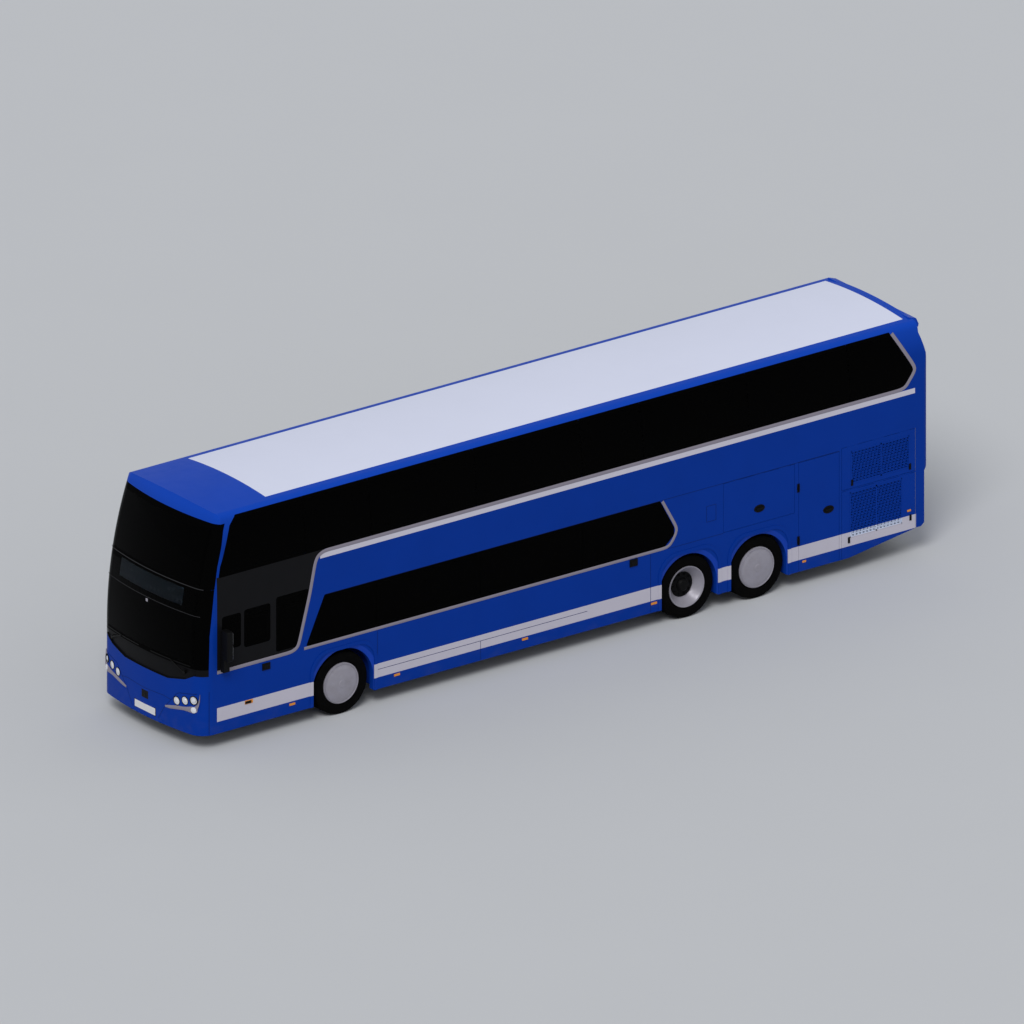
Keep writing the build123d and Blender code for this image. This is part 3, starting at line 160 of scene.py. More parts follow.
# ================================================================== materials
class Graph:
    """A node material, with short names for the nodes that the finishes share."""

    def __init__(self, name, roughness, metallic=0.0, specular=0.4):
        self.material = bpy.data.materials.new(name)
        self.material.use_nodes = True
        self.tree = self.material.node_tree
        self.shader = self.tree.nodes["Principled BSDF"]
        self.set("Roughness", roughness)
        self.set("Metallic", metallic)
        self.set("Specular IOR Level", specular)
        self.place = self.add("TexCoord").outputs["Object"]

    def add(self, kind, *inputs, **settings):
        """A new node with its settings, and (socket, value or output) pairs on its inputs."""
        node = self.tree.nodes.new("ShaderNode" + kind)
        for name, value in settings.items():
            setattr(node, name, value)
        for socket, value in inputs:
            self.plug(node.inputs[socket], value)
        return node

    def plug(self, socket, value):
        """A value or another node's output on a socket. Colours are given without their alpha."""
        if isinstance(value, bpy.types.NodeSocket):
            self.tree.links.new(value, socket)
        elif socket.type == "RGBA":
            socket.default_value = (*value, 1.0)
        else:
            socket.default_value = value

    def set(self, socket, value):
        self.plug(self.shader.inputs[socket], value)
        return self

    def math(self, operation, *values):
        return self.add("Math", *enumerate(values), operation=operation).outputs[0]

    def mix(self, factor, first, second):
        inputs = (("Factor", factor), ("A", first), ("B", second))
        return self.add("Mix", *inputs, data_type="RGBA").outputs["Result"]

    def noise(self, scale, detail=3.0, stretch=None):
        place = self.place
        if stretch:
            place = self.add("Mapping", ("Vector", place), ("Scale", stretch)).outputs["Vector"]
        inputs = (("Vector", place), ("Scale", scale), ("Detail", detail))
        return self.add("TexNoise", *inputs).outputs["Fac"]

    def wave(self, axis, scale):
        """Even bands square to an axis."""
        inputs = (("Vector", self.place), ("Scale", scale))
        return self.add("TexWave", *inputs, bands_direction=axis).outputs["Fac"]

    def ramp(self, *values):
        """A value from one range to another: value, low, high, and what those turn into."""
        return self.add("MapRange", *enumerate(values)).outputs["Result"]

    def axes(self):
        return self.add("SeparateXYZ", (0, self.place)).outputs

    def both(self, *masks):
        """Where every mask is 1."""
        result = masks[0]
        for mask in masks[1:]:
            result = self.math("MULTIPLY", result, mask)
        return result

    def either(self, *masks):
        result = masks[0]
        for mask in masks[1:]:
            result = self.math("MAXIMUM", result, mask)
        return result

    def over(self, value, limit):
        return self.math("GREATER_THAN", value, limit)

    def under(self, value, limit):
        return self.math("LESS_THAN", value, limit)

    def within(self, value, low, high):
        return self.both(self.over(value, low), self.under(value, high))

    def zone(self, x, z, band):
        """The mask of a rectangle x_rear, x_front, z_low, z_high seen from the side."""
        return self.both(self.within(x, band[0], band[1]), self.within(z, band[2], band[3]))

    def bump(self, height, strength, depth):
        """The finished material, with a relief."""
        inputs = (("Strength", strength), ("Distance", depth), ("Height", height))
        self.set("Normal", self.add("Bump", *inputs).outputs["Normal"])
        return self.material

    def grain(self, scale, detail, strength, depth, stretch=None):
        """The finished material, with a fine relief of noise."""
        return self.bump(self.noise(scale, detail, stretch), strength, depth)

    def mottle(self, colour, spread, scale, detail=3.0, stretch=None):
        """The colour, a little lighter and darker from place to place."""
        light = [min(1.0, c * (1 + spread)) for c in colour]
        dark = [c * (1 - spread) for c in colour]
        return self.mix(self.noise(scale, detail, stretch), dark, light)


def plain(name, colour, mottle, roughness, specular, grain, metallic=0.0):
    """One mottled colour (spread, scale) over a grain (scale, detail, strength, depth)."""
    g = Graph(name, roughness, metallic, specular)
    g.set("Base Color", g.mottle(colour, *mottle))
    return g.grain(*grain)


def livery():
    """The painted body: blue, with its bands, dark cab panel, black cowl and white roof."""
    g = Graph("livery_paint", 0.34, specular=0.045)
    g.set("Coat Weight", 0.015).set("Coat Roughness", 0.08)
    x, y, z = g.axes()
    across = g.math("ABSOLUTE", y)
    flank = g.over(across, FLANK_Y)
    # painted highlight: the cant turns a lighter blue towards the roof
    cant_highlight = g.both(g.over(z, CANT_Z[0]), g.ramp(z, CANT_Z[1], CANT_Z[2]))
    colour = g.mix(cant_highlight, g.mottle(BLUE, 0.07, 1.7), g.mottle(CANT_HIGHLIGHT_BLUE, 0.05, 1.7))
    # the stripes' white carries painted shade: it is darker than the roof's white
    for band, paint in ((LOWER_STRIPE, LOWER_STRIPE_SHADED_WHITE), (UPPER_STRIPE, UPPER_STRIPE_SHADED_WHITE)):
        colour = g.mix(g.both(g.zone(x, z, band), flank), colour, g.mottle(paint, 0.03, 2.0))
    slant = 0.0
    for z_from, z_to, x_from, x_to in PANEL_SLANT:
        slant = g.math("ADD", g.ramp(z, z_from, z_to, x_from, x_to), slant)
    panel = g.both(g.zone(x, z, DARK_PANEL), g.over(x, slant), flank)
    colour = g.mix(panel, colour, g.mottle(PANEL_BLACK, 0.1, 6.0))
    edge = COWL_MID_Z
    for start, stop, rise in COWL_RISES:
        edge = g.math("ADD", g.ramp(across, start, stop, 0.0, rise), edge)
    cowl = g.both(g.over(x, COWL_REAR_X), g.over(z, edge), g.under(z, KNEE_Z))
    colour = g.mix(cowl, colour, g.mottle(COWL_BLACK, 0.1, 6.0))
    veil = g.both(g.zone(x, z, VEILED_STRIPE), flank)
    colour = g.mix(veil, colour, g.mottle(VEIL_PAINT, 0.08, 30.0))
    sunk = g.both(g.zone(x, z, LOWER_GLAZING), g.under(across, HALF_W - GLASS_STEP))
    black = [g.both(g.either(sunk, g.zone(x, z, UPPER_GLAZING)), g.over(across, PILLAR_Y)),
             g.both(g.zone(x, z, SCREEN_GAP), g.under(across, SCREEN_GAP_HALF_W))]
    for low, high in HINGE_HEIGHTS:
        black.append(g.both(g.zone(x, z, (*HINGE_X, low, high)), flank))
    colour = g.mix(g.either(*black), colour, g.mottle(COWL_BLACK, 0.2, 20.0))
    roof = g.both(g.zone(x, z, WHITE_ROOF), g.under(across, WHITE_ROOF_HALF_W))
    colour = g.mix(roof, colour, g.mottle(WHITE_PAINT, 0.025, 0.9))
    speckle = g.ramp(g.noise(9.0, 6.0, (0.4, 1.0, 1.0)), 0.45, 0.75)
    road_film = g.math("MULTIPLY", g.both(g.ramp(z, *ROAD_FILM_Z), speckle), 0.06)
    g.set("Base Color", g.mix(road_film, colour, DUST))
    dull = g.either(road_film, g.math("MULTIPLY", panel, 0.1))
    g.set("Roughness", g.ramp(g.math("ADD", dull, g.noise(5.0, 4.0)), 0.3, 1.1, 0.28, 0.50))
    return g.grain(140.0, 2.0, 0.04, 0.0006)


def arch_paint():
    """The arch filling: body blue and the stripe on its face, and on its bevel a lighter blue as a
    painted highlight.
    """
    g = Graph("arch_paint", 0.4, specular=0.045)
    _, y, z = g.axes()
    across = g.math("ABSOLUTE", y)
    face = g.over(across, HALF_W - 0.001)
    bevel = g.both(g.under(across, HALF_W - 0.001), g.over(across, HALF_W - BEVEL_DEPTH - 0.002))
    colour = g.mix(bevel, g.mottle(BLUE, 0.07, 1.7), g.mottle(BEVEL_HIGHLIGHT_BLUE, 0.06, 3.0))
    # the stripe on the arch's face is the lower stripe's white, darkened as painted shade
    stripe = g.both(g.within(z, LOWER_STRIPE[2], LOWER_STRIPE[3]), face)
    colour = g.mix(stripe, colour, g.mottle(LOWER_STRIPE_SHADED_WHITE, 0.03, 2.0))
    grime = g.both(g.ramp(g.noise(9.0, 6.0), 0.45, 0.75), g.ramp(across, HALF_W - 0.03, 1.0))
    g.set("Base Color", g.mix(g.math("MULTIPLY", grime, 0.12), colour, DUST))
    return g.grain(140.0, 2.0, 0.05, 0.0006)


def tinted_glass():
    """Dark tinted glass with an opaque printed border, and a clear window for the display."""
    g = Graph("tinted_glass", 0.03, specular=0.18)
    x, y, z = g.axes()
    across = g.math("ABSOLUTE", y)
    borders = []
    for low, high in GLASS_ROWS:
        borders.append(g.within(z, low, low + GLASS_BORDER))
        borders.append(g.within(z, high - GLASS_BORDER, high))
    side_frit = g.both(g.either(*borders), g.over(across, GLASS_FLANK_Y))
    front = g.over(x, SCREEN_REAR_X)
    bands = [g.within(z, low, high) for low, high in SCREEN_BORDERS]
    front_frit = g.both(front, g.either(g.over(across, SCREEN_BORDER_Y), *bands))
    half_w, low, high = DISPLAY_WINDOW
    clear = g.both(front, g.under(across, half_w), g.within(z, low, high))
    frit = g.both(g.either(side_frit, front_frit), g.math("SUBTRACT", 1.0, clear))
    tint = g.mix(clear, g.mix(g.noise(1.3, 2.0), *TINTS), CLEAR_TINT)
    g.set("Base Color", g.mix(frit, tint, FRIT))
    g.set("Transmission Weight", g.math("SUBTRACT", 1.0, frit))
    g.set("IOR", 1.09)
    return g.grain(0.9, 1.0, 0.05, 0.002)


def silver_trim():
    """Satin silver, brushed along the coach."""
    g = Graph("silver_trim", 0.38, metallic=0.45, specular=0.5)
    g.set("Base Color", g.mottle(SILVER, 0.06, 8.0, 4.0, (0.2, 1.0, 1.0)))
    return g.grain(240.0, 2.0, 0.06, 0.0004, (0.05, 1.0, 1.0))


def rubber():
    """Tyre rubber with a little road dust."""
    g = Graph("tyre_rubber", 0.78, specular=0.03)
    grime = g.ramp(g.noise(14.0, 5.0), 0.35, 0.8)
    colour = g.mottle(TYRE_BLACK, 0.3, 18.0)
    g.set("Base Color", g.mix(g.math("MULTIPLY", grime, 0.05), colour, TYRE_DUST))
    g.set("Roughness", g.ramp(grime, 0.0, 1.0, 0.68, 0.9))
    return g.grain(260.0, 3.0, 0.3, 0.0012)


def wheel_paint():
    """Silver wheel lacquer with patches of brake dust."""
    g = Graph("wheel_lacquer", 0.4, metallic=0.2, specular=0.45)
    dust = g.ramp(g.noise(7.0, 5.0), 0.4, 0.85)
    colour = g.mottle(WHEEL_SILVER, 0.05, 12.0)
    g.set("Base Color", g.mix(g.math("MULTIPLY", dust, 0.25), colour, BRAKE_DUST))
    g.set("Roughness", g.ramp(dust, 0.0, 1.0, 0.34, 0.6))
    return g.grain(180.0, 2.0, 0.06, 0.0005)


def steel(name, colour, roughness):
    """Painted or bare metal with rust in patches."""
    g = Graph(name, roughness, metallic=0.35, specular=0.4)
    rust = g.ramp(g.noise(11.0, 6.0), 0.56, 0.72)
    base = g.mottle(colour, 0.18, 14.0, 5.0)
    g.set("Base Color", g.mix(g.math("MULTIPLY", rust, 0.4), base, RUST))
    return g.grain(220.0, 3.0, 0.3, 0.001)


def vinyl_floor():
    """Safety flooring: grey vinyl with fine pale flecks."""
    g = Graph("floor_vinyl", 0.6, specular=0.3)
    fleck = g.over(g.noise(330.0, 1.0), 0.66)
    g.set("Base Color", g.mix(fleck, g.mottle(VINYL, 0.15, 20.0), VINYL_FLECK))
    return g.grain(480.0, 2.0, 0.25, 0.0006)


def weave(name, colour, accent):
    """Seat fabric: a fine woven moquette with scattered lighter threads and a soft sheen."""
    g = Graph(name, 0.92, specular=0.15)
    g.set("Sheen Weight", 0.35)
    along, across, up = (g.wave(axis, 95.0) for axis in "XYZ")
    cloth = g.math("ADD", g.math("MULTIPLY", along, across), g.math("MULTIPLY", up, 0.5))
    thread = g.over(g.noise(85.0, 1.0, (1.0, 1.0, 3.0)), 0.62)
    base = g.mix(thread, g.mottle(colour, 0.2, 25.0), accent)
    g.set("Base Color", g.mix(g.math("MULTIPLY", cloth, 0.25), base, (0.0, 0.0, 0.0)))
    return g.bump(cloth, 0.4, 0.0012)


def lamp_plastic(name, colour, rib_glint, pitch):
    """Moulded lens plastic with fine optical ribs, whose bands are painted lighter as painted
    glints.
    """
    g = Graph(name, 0.12, specular=0.5)
    ribs = g.wave("Z", pitch)
    # the ribs alternate with a lighter colour: a painted glint
    g.set("Base Color", g.mix(ribs, colour, rib_glint))
    g.set("Coat Weight", 0.5)
    return g.bump(ribs, 0.25, 0.001)


def display_panel():
    """An unlit route display: dark blue-grey with the fine grid of its dots."""
    g = Graph("display_matrix", 0.35, specular=0.3)
    _, y, z = g.axes()
    dots = []
    for axis in (y, z):
        dots.append(g.within(g.math("FRACT", g.math("DIVIDE", axis, DOT_PITCH)), 0.2, 0.8))
    grid = g.both(*dots)
    g.set("Base Color", g.mix(grid, *DISPLAY_DOTS))
    return g.bump(grid, 0.2, 0.001)


PAINT = livery()
ARCH = arch_paint()
GLASS = tinted_glass()
TRIM = silver_trim()
RUBBER = rubber()
WHEEL = wheel_paint()
FLOORING = vinyl_floor()
DISPLAY = display_panel()
CABIN_LINING = plain("cabin_lining", LINING, (0.06, 30.0), 0.75, 0.25, (420.0, 2.0, 0.3, 0.0008))
SEAM = plain("seam_paint", SEAM_BLUE, (0.25, 12.0), 0.6, 0.1, (260.0, 2.0, 0.1, 0.0004))
JOINT = plain("screen_joint", JOINT_GREY, (0.2, 30.0), 0.6, 0.2, (300.0, 2.0, 0.15, 0.0004))
MIRROR = plain("mirror_glass", MIRROR_GREY, (0.02, 12.0), 0.04, 0.5, (2.0, 1.0, 0.02, 0.001), 1.0)
PLASTIC = plain("moulded_black", PLASTIC_BLACK, (0.3, 30.0), 0.55, 0.10,
                (650.0, 2.0, 0.25, 0.0006))
SATIN = plain("satin_black_metal", SATIN_BLACK, (0.25, 22.0), 0.42, 0.12,
              (500.0, 2.0, 0.12, 0.0004), 0.2)
PLATE = plain("blank_plate_white", PLATE_WHITE, (0.03, 25.0), 0.4, 0.4,
              (600.0, 2.0, 0.05, 0.0003))
STUDIO = plain("studio_floor", STUDIO_GREY, (0.01, 0.4), 0.85, 0.2, (60.0, 2.0, 0.05, 0.001))
STEEL = steel("chassis_paint", (0.030, 0.031, 0.034), 0.55)
IRON = steel("engine_casting", (0.10, 0.10, 0.105), 0.5)
BRIGHT = steel("zinc_plated", (0.42, 0.42, 0.43), 0.32)
FABRIC = weave("seat_moquette", (0.012, 0.022, 0.075), (0.05, 0.08, 0.20))
DRIVER_FABRIC = weave("driver_moquette", (0.018, 0.018, 0.022), (0.05, 0.05, 0.06))
# the second colour of each lens is its painted glint on the ribs, not a lit lamp
CLEAR_LENS = lamp_plastic("clear_lens", (0.62, 0.63, 0.67), (0.85, 0.86, 0.90), 60.0)
AMBER_LENS = lamp_plastic("amber_lens", (0.62, 0.19, 0.008), (0.85, 0.32, 0.02), 70.0)
RED_LENS = lamp_plastic("red_lens", (0.30, 0.006, 0.006), (0.55, 0.02, 0.015), 50.0)

SHELL_NODES = ["side_wall_left", "side_wall_right", "front_panel", "rear_panel", "engine_door",
               "front_door", "middle_door"]
SHELL_NODES += [name + side for name in ("locker_door_", "service_door_", "upper_flap_",
                                         "lower_flap_") for side, _ in SIDES]
CORE_REACH = 5.6               # half length of the line that the shells stand around
ROOF_REACH = 6.6               # longer under the roof, whose rear lip faces forwards
CORE_Z = (0.9, 2.9)
FRONT_WHEEL = Vector((4.20, 1.09, 0.51))
HOUSING_REACH = 0.7
FINISHES = {
    "windscreens": GLASS, "rear_window": GLASS, "glass_left": GLASS, "glass_right": GLASS,
    "front_door_glass": GLASS, "middle_door_glass": GLASS,
    "lower_saloon_floor": FLOORING, "upper_deck_floor": FLOORING, "staircase": FLOORING,
    "dashboard": PLASTIC, "steering_wheel": PLASTIC,
    "mirrors": PLASTIC, "wipers": SATIN, "destination_display": DISPLAY,
    "engine_block": IRON, "chassis_frame": STEEL, "tow_sockets": STEEL,
    "front_axle_beam": STEEL, "knuckle_left": STEEL, "knuckle_right": STEEL,
    "drive_axle": STEEL, "tag_axle": STEEL, "front_door_arm": BRIGHT, "middle_door_arm": BRIGHT,
    "lamps_front": CLEAR_LENS, "lamps_side": AMBER_LENS, "lamps_rear": RED_LENS,
}


def dress(node, *materials):
    """Give a CAD node its finishes. Its mesh stays as it is."""
    slots = NODES[node].data.materials
    slots.clear()
    for material in materials:
        slots.append(material)


def line_inside(node, reach):
    """Paint a shell's outside, and line the faces that look towards the middle of the coach."""
    dress(node, PAINT, CABIN_LINING)
    for face in NODES[node].data.polygons:
        middle = face.center
        core = Vector((max(-reach, min(reach, middle.x)), 0.0,
                       max(CORE_Z[0], min(CORE_Z[1], middle.z))))
        inside = face.normal.dot((middle - core).normalized()) < -0.5
        face.material_index = 1 if inside else 0


def paint_housings():
    """Paint the front wheel housings on the side that faces the wheel, and line the rest."""
    dress("saloon_walls", CABIN_LINING, PAINT)
    for face in NODES["saloon_walls"].data.polygons:
        middle = Vector((face.center.x, abs(face.center.y), face.center.z))
        normal = face.normal.copy()
        normal.y = math.copysign(normal.y, normal.y * face.center.y)
        towards = normal.dot(FRONT_WHEEL - middle) > 0
        near = abs(middle.x - FRONT_WHEEL.x) < HOUSING_REACH
        face.material_index = 1 if towards and near else 0


for node in SHELL_NODES:
    line_inside(node, CORE_REACH)
line_inside("roof", ROOF_REACH)
paint_housings()
for node, material in FINISHES.items():
    dress(node, material)
for side_name, _ in SIDES:
    for rim in ("rim_front_", "rim_tag_", "rim_drive_"):
        dress(rim + side_name, WHEEL)


# ================================================================== mesh helpers
def place_object(name, data):
    item = bpy.data.objects.new(name, data)
    bpy.context.scene.collection.objects.link(item)
    return item


def add_piece(name, bm, body, material, sharp=35.0, bevel=0.0):
    """Turn a bmesh into a piece that rides on a body, shaded smooth up to a sharp angle."""
    bmesh.ops.recalc_face_normals(bm, faces=bm.faces)
    limit = math.radians(sharp)
    for face in bm.faces:
        face.smooth = True
    for edge in bm.edges:
        edge.smooth = edge.is_manifold and edge.calc_face_angle(0.0) < limit
    mesh = bpy.data.meshes.new(name)
    bm.to_mesh(mesh)
    bm.free()
    mesh.materials.append(material)
    piece = place_object(name, mesh)
    if bevel:
        rounding = piece.modifiers.new("rounding", "BEVEL")
        rounding.width = bevel
        rounding.segments = 2
        rounding.limit_method = "ANGLE"
        rounding.angle_limit = limit
    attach(piece, body)
    return piece


def join_rings(bm, rings):
    """Faces from each ring of vertices to the next. A pole is a ring of one vertex, repeated."""
    for a, b in zip(rings, rings[1:]):
        for i in range(len(a)):
            bm.faces.new(list(dict.fromkeys((a[i - 1], a[i], b[i], b[i - 1]))))


def close_ends(bm, rings):
    bm.faces.new(rings[0])
    bm.faces.new(list(reversed(rings[-1])))


def add_box(bm, low, high):
    """A closed box between two corners, which the piece's rounding softens."""
    corners = [(x, y, z) for x in (low[0], high[0]) for y in (low[1], high[1])
               for z in (low[2], high[2])]
    v = [bm.verts.new(c) for c in corners]
    for ring in ((0, 1, 3, 2), (4, 6, 7, 5), (0, 4, 5, 1), (2, 3, 7, 6), (0, 2, 6, 4), (1, 5, 7, 3)):
        bm.faces.new([v[i] for i in ring])


def add_lathe(bm, profile, origin, direction, segments, closed=False):
    """Revolve (radius, height) points about a line through origin along direction."""
    turn = Vector(direction).to_track_quat("Z", "Y").to_matrix()
    origin = Vector(origin)
    rings = []
    for radius, height in profile:
        if radius == 0.0:
            rings.append([bm.verts.new(origin + turn @ Vector((0, 0, height)))] * segments)
            continue
        ring = []
        for k in range(segments):
            angle = 2 * math.pi * k / segments
            point = Vector((radius * math.cos(angle), radius * math.sin(angle), height))
            ring.append(bm.verts.new(origin + turn @ point))
        rings.append(ring)
    join_rings(bm, rings + rings[:1] if closed else rings)


def add_strip(bm, centres, across, normals, half_width, section):
    """A moulding along a path. section holds (share of half width, height) points."""
    rings = []
    for centre, side, normal, half in zip(centres, across, normals, half_width):
        rings.append([bm.verts.new(centre + side * (s * half) + normal * h) for s, h in section])
    join_rings(bm, rings)
    close_ends(bm, rings)


# ================================================================== the coach's skin
def skin_tree(nodes):
    """A search tree over the outer faces of some CAD nodes."""
    verts = []
    faces = []
    for node in nodes:
        mesh = NODES[node].data
        base = len(verts)
        verts.extend(v.co.copy() for v in mesh.vertices)
        faces.extend([base + i for i in p.vertices] for p in mesh.polygons)
    return BVHTree.FromPolygons(verts, faces)


FLANK_TREE = skin_tree(["side_wall_left", "glass_left", "roof"])
NOSE_TREE = skin_tree(["front_panel", "windscreens", "lamps_front", "roof"])
SLOPE_STEP = 0.01
PROBES = (0.0, 0.012, -0.012)  # a point over a gap takes its place from this far beside it


def skin_reach(tree, starts, inward):
    """How far out the skin is, by the outermost hit of some rays that come in along an axis."""
    best = 0.0
    for start in starts:
        hit = tree.ray_cast(Vector(start), inward, 2.5)[0]
        if hit is not None:
            best = max(best, -hit.dot(inward))
    return best


def flank_y(x, z):
    """How far out the left flank is at a place on it."""
    starts = [(x + dx, 3.0, z + dz) for dx in PROBES for dz in PROBES]
    reach = skin_reach(FLANK_TREE, starts, Vector((0, -1, 0)))
    return min(reach, HALF_W) if z < KNEE_Z else reach


def nose_x(y, z):
    """How far forward the front face is at a place on it."""
    starts = [(8.0, y + dy, z + dz) for dy in PROBES for dz in PROBES]
    return skin_reach(NOSE_TREE, starts, Vector((-1, 0, 0)))


def slopes(height, u, v):
    """How fast a height over two coordinates changes along each."""
    return ((height(u + SLOPE_STEP, v) - height(u - SLOPE_STEP, v)) / (2 * SLOPE_STEP),
            (height(u, v + SLOPE_STEP) - height(u, v - SLOPE_STEP)) / (2 * SLOPE_STEP))


def flank_normal(x, z, side):
    turn, lean = slopes(flank_y, x, z)
    return Vector((-turn, side, -lean)).normalized()


def nose_normal(y, z):
    turn, lean = slopes(nose_x, y, z)
    return Vector((1.0, -turn, -lean)).normalized()


def refine(path, step):
    """The same path with points no further apart than step."""
    result = [Vector(path[0])]
    for a, b in zip(path, path[1:]):
        a = Vector(a)
        b = Vector(b)
        count = max(1, math.ceil((b - a).length / step))
        result.extend(a.lerp(b, k / count) for k in range(1, count + 1))
    return result


def round_corners(path):
    """Cut each inner corner of a path into a smooth bend."""
    points = [Vector(p) for p in path]
    for _ in range(2):
        cut = [points[0]]
        for a, b in zip(points, points[1:]):
            share = min(0.25, 0.05 / (b - a).length)
            cut += [a.lerp(b, share), a.lerp(b, 1 - share)]
        points = cut + points[-1:]
    return points


def path_sides(path):
    """Unit vectors square to a flat path, mitred at its points."""
    sides = []
    for i in range(len(path)):
        before = path[max(i - 1, 0)]
        after = path[min(i + 1, len(path) - 1)]
        run = (after - before).normalized()
        sides.append(Vector((-run.y, run.x)))
    return sides


# crowned section of a moulding: share of its half width, share of its height (or a depth)
MOULDING = ((-1.0, -0.002), (-1.0, 0.35), (-0.72, 0.85), (0.0, 1.0), (0.72, 0.85), (1.0, 0.35),
            (1.0, -0.002))


def crowned(proud):
    return [(s, h * proud if h > 0 else h) for s, h in MOULDING]


def flank_strip(bm, points, side, normals, width, section):
    """A strip on the flank along (x, z) points."""
    centres = [Vector((p.x, side * flank_y(p.x, p.y), p.y)) for p in points]
    across = [Vector((s.x, 0.0, s.y)) for s in path_sides(points)]
    add_strip(bm, centres, across, normals, [width / 2] * len(points), section)


def flank_moulding(bm, path, side, width, proud):
    """A crowned moulding on the flank along an (x, z) path, with its corners rounded."""
    points = refine(round_corners(path), 0.25)
    normals = [flank_normal(p.x, p.y, side) for p in points]
    flank_strip(bm, points, side, normals, width, crowned(proud))


def nose_moulding(bm, path, widths, proud):
    """A crowned moulding on the front face along a (y, z) path, of changing width."""
    points = [Vector(p) for p in path]
    centres = [Vector((nose_x(p.x, p.y), p.x, p.y)) for p in points]
    normals = [nose_normal(p.x, p.y) for p in points]
    across = [Vector((0.0, s.x, s.y)) for s in path_sides(points)]
    add_strip(bm, centres, across, normals, [w / 2 for w in widths], crowned(proud))


# ================================================================== wheel arches
ARCH_TOP_Z = 1.09
ARCH_CORNER_R = 0.30
SKIRT_Z = 0.266
ARCH_EDGE = 0.004              # least width of the filling where a tyre comes close
# per arch: edge ahead, edge behind, middle of the round edge as x and z, its radius, and how
# far in the lining goes
ARCHES = {"front": (4.773, 3.602, 4.1875, 0.495, 0.585, 1.16),
          "drive": (-1.910, -3.000, -2.440, 0.510, 0.550, 0.62),
          "tag": (-3.245, -4.340, -3.780, 0.510, 0.550, 0.90)}
BEVEL_W = 0.075
ARCH_BACK = 0.034              # how far behind the flank the filling's outer edge ends
ARCH_SHEET = 0.003
ARCH_STEPS = 40
REACH_STEP = 0.0005


def opening_reach(front, rear, x, z, angle):
    """How far the edge of an arch opening is from a point inside it, in a direction."""
    run = Vector((math.cos(angle), math.sin(angle)))
    reach = 0.0
    while True:
        at = Vector((x, z)) + run * (reach + REACH_STEP)
        inside_x = min(front - at.x, at.x - rear)
        inside_z = ARCH_TOP_Z - at.y
        if inside_x < 0 or inside_z < 0:
            return reach
        if inside_x < ARCH_CORNER_R and inside_z < ARCH_CORNER_R:
            if math.hypot(ARCH_CORNER_R - inside_x, ARCH_CORNER_R - inside_z) > ARCH_CORNER_R:
                return reach
        reach += REACH_STEP


def arch_rows(front, rear, x, z, radius):
    """Rows of (outer, bevel, inner) points round an arch, from its front foot to its rear."""
    rows = []
    for k in range(ARCH_STEPS + 1):
        angle = math.pi * k / ARCH_STEPS
        run = Vector((math.cos(angle), math.sin(angle)))
        reach = opening_reach(front, rear, x, z, angle)
        inner = min(radius, reach - ARCH_EDGE)
        middle = max(min(inner + BEVEL_W, reach - 0.001), inner + ARCH_EDGE / 2)
        rows.append([Vector((x, z)) + run * r for r in (reach + 0.001, middle, inner)])
    feet = [[Vector((p.x, SKIRT_Z)) for p in rows[end]] for end in (0, -1)]
    return [feet[0]] + rows + [feet[1]]


def add_arch(bm, rows, side, depth):
    """A filling with a face, a bevel and a lining that goes in round the wheel, as a sheet."""
    faces = (HALF_W - 0.0005, HALF_W - 0.0005, HALF_W - BEVEL_DEPTH)
    sheets = []
    for outer, middle, inner in rows:
        ring = [Vector((p.x, side * y, p.y)) for p, y in zip((outer, middle, inner), faces)]
        back = (inner - middle).normalized() * ARCH_SHEET
        ring.append(Vector((inner.x, side * depth, inner.y)))
        ring.append(Vector((inner.x - back.x, side * depth, inner.y - back.y)))
        ring.append(Vector((outer.x, side * (HALF_W - ARCH_BACK), outer.y)))
        sheets.append([bm.verts.new(p) for p in ring])
    join_rings(bm, sheets)
    close_ends(bm, sheets)


for side_name, side in SIDES:
    for arch, (front, rear, x, z, radius, depth) in ARCHES.items():
        bm = bmesh.new()
        add_arch(bm, arch_rows(front, rear, x, z, radius), side, depth)
        add_piece("arch_lining_%s_%s" % (arch, side_name), bm, "coach", ARCH)

# ================================================================== silver trims
DOOR_GAP = 0.008               # between a trim on the body and one on a door
LEAF_INSET = 0.004             # a door's own trim ends this far inside its leaf
DOOR_TRIM_Z = 1.275
FRONT_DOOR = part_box("front_door")
MIDDLE_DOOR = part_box("middle_door")


def clip(path, low_x, high_x):
    """The part of a level path between two places along the coach."""
    (x0, z0), (x1, z1) = path
    return ((min(x0, high_x), z0), (max(x1, low_x), z1))


def trim_paths(side):
    """The trims of one flank, as (path, width). On the right they leave out the doors."""
    belt = [(TRIM_BELT, TRIM_W)]
    if side > 0:
        return [(TRIM_FRONT, TRIM_W)] + belt + [(TRIM_LOWER, LOWER_TRIM_W)]
    ahead = clip(TRIM_FRONT[:2], FRONT_DOOR[1].x + DOOR_GAP, FRONT_X)
    behind = ((FRONT_DOOR[0].x - DOOR_GAP, TRIM_FRONT[0][1]),) + TRIM_FRONT[1:]
    lower_z = TRIM_LOWER[0][1]
    lower_ahead = (TRIM_LOWER[0], (MIDDLE_DOOR[1].x + DOOR_GAP, lower_z))
    lower_behind = ((MIDDLE_DOOR[0].x - DOOR_GAP, lower_z),) + TRIM_LOWER[1:]
    return ([(ahead, TRIM_W), (behind, TRIM_W)] + belt
            + [(lower_ahead, LOWER_TRIM_W), (lower_behind, LOWER_TRIM_W)])


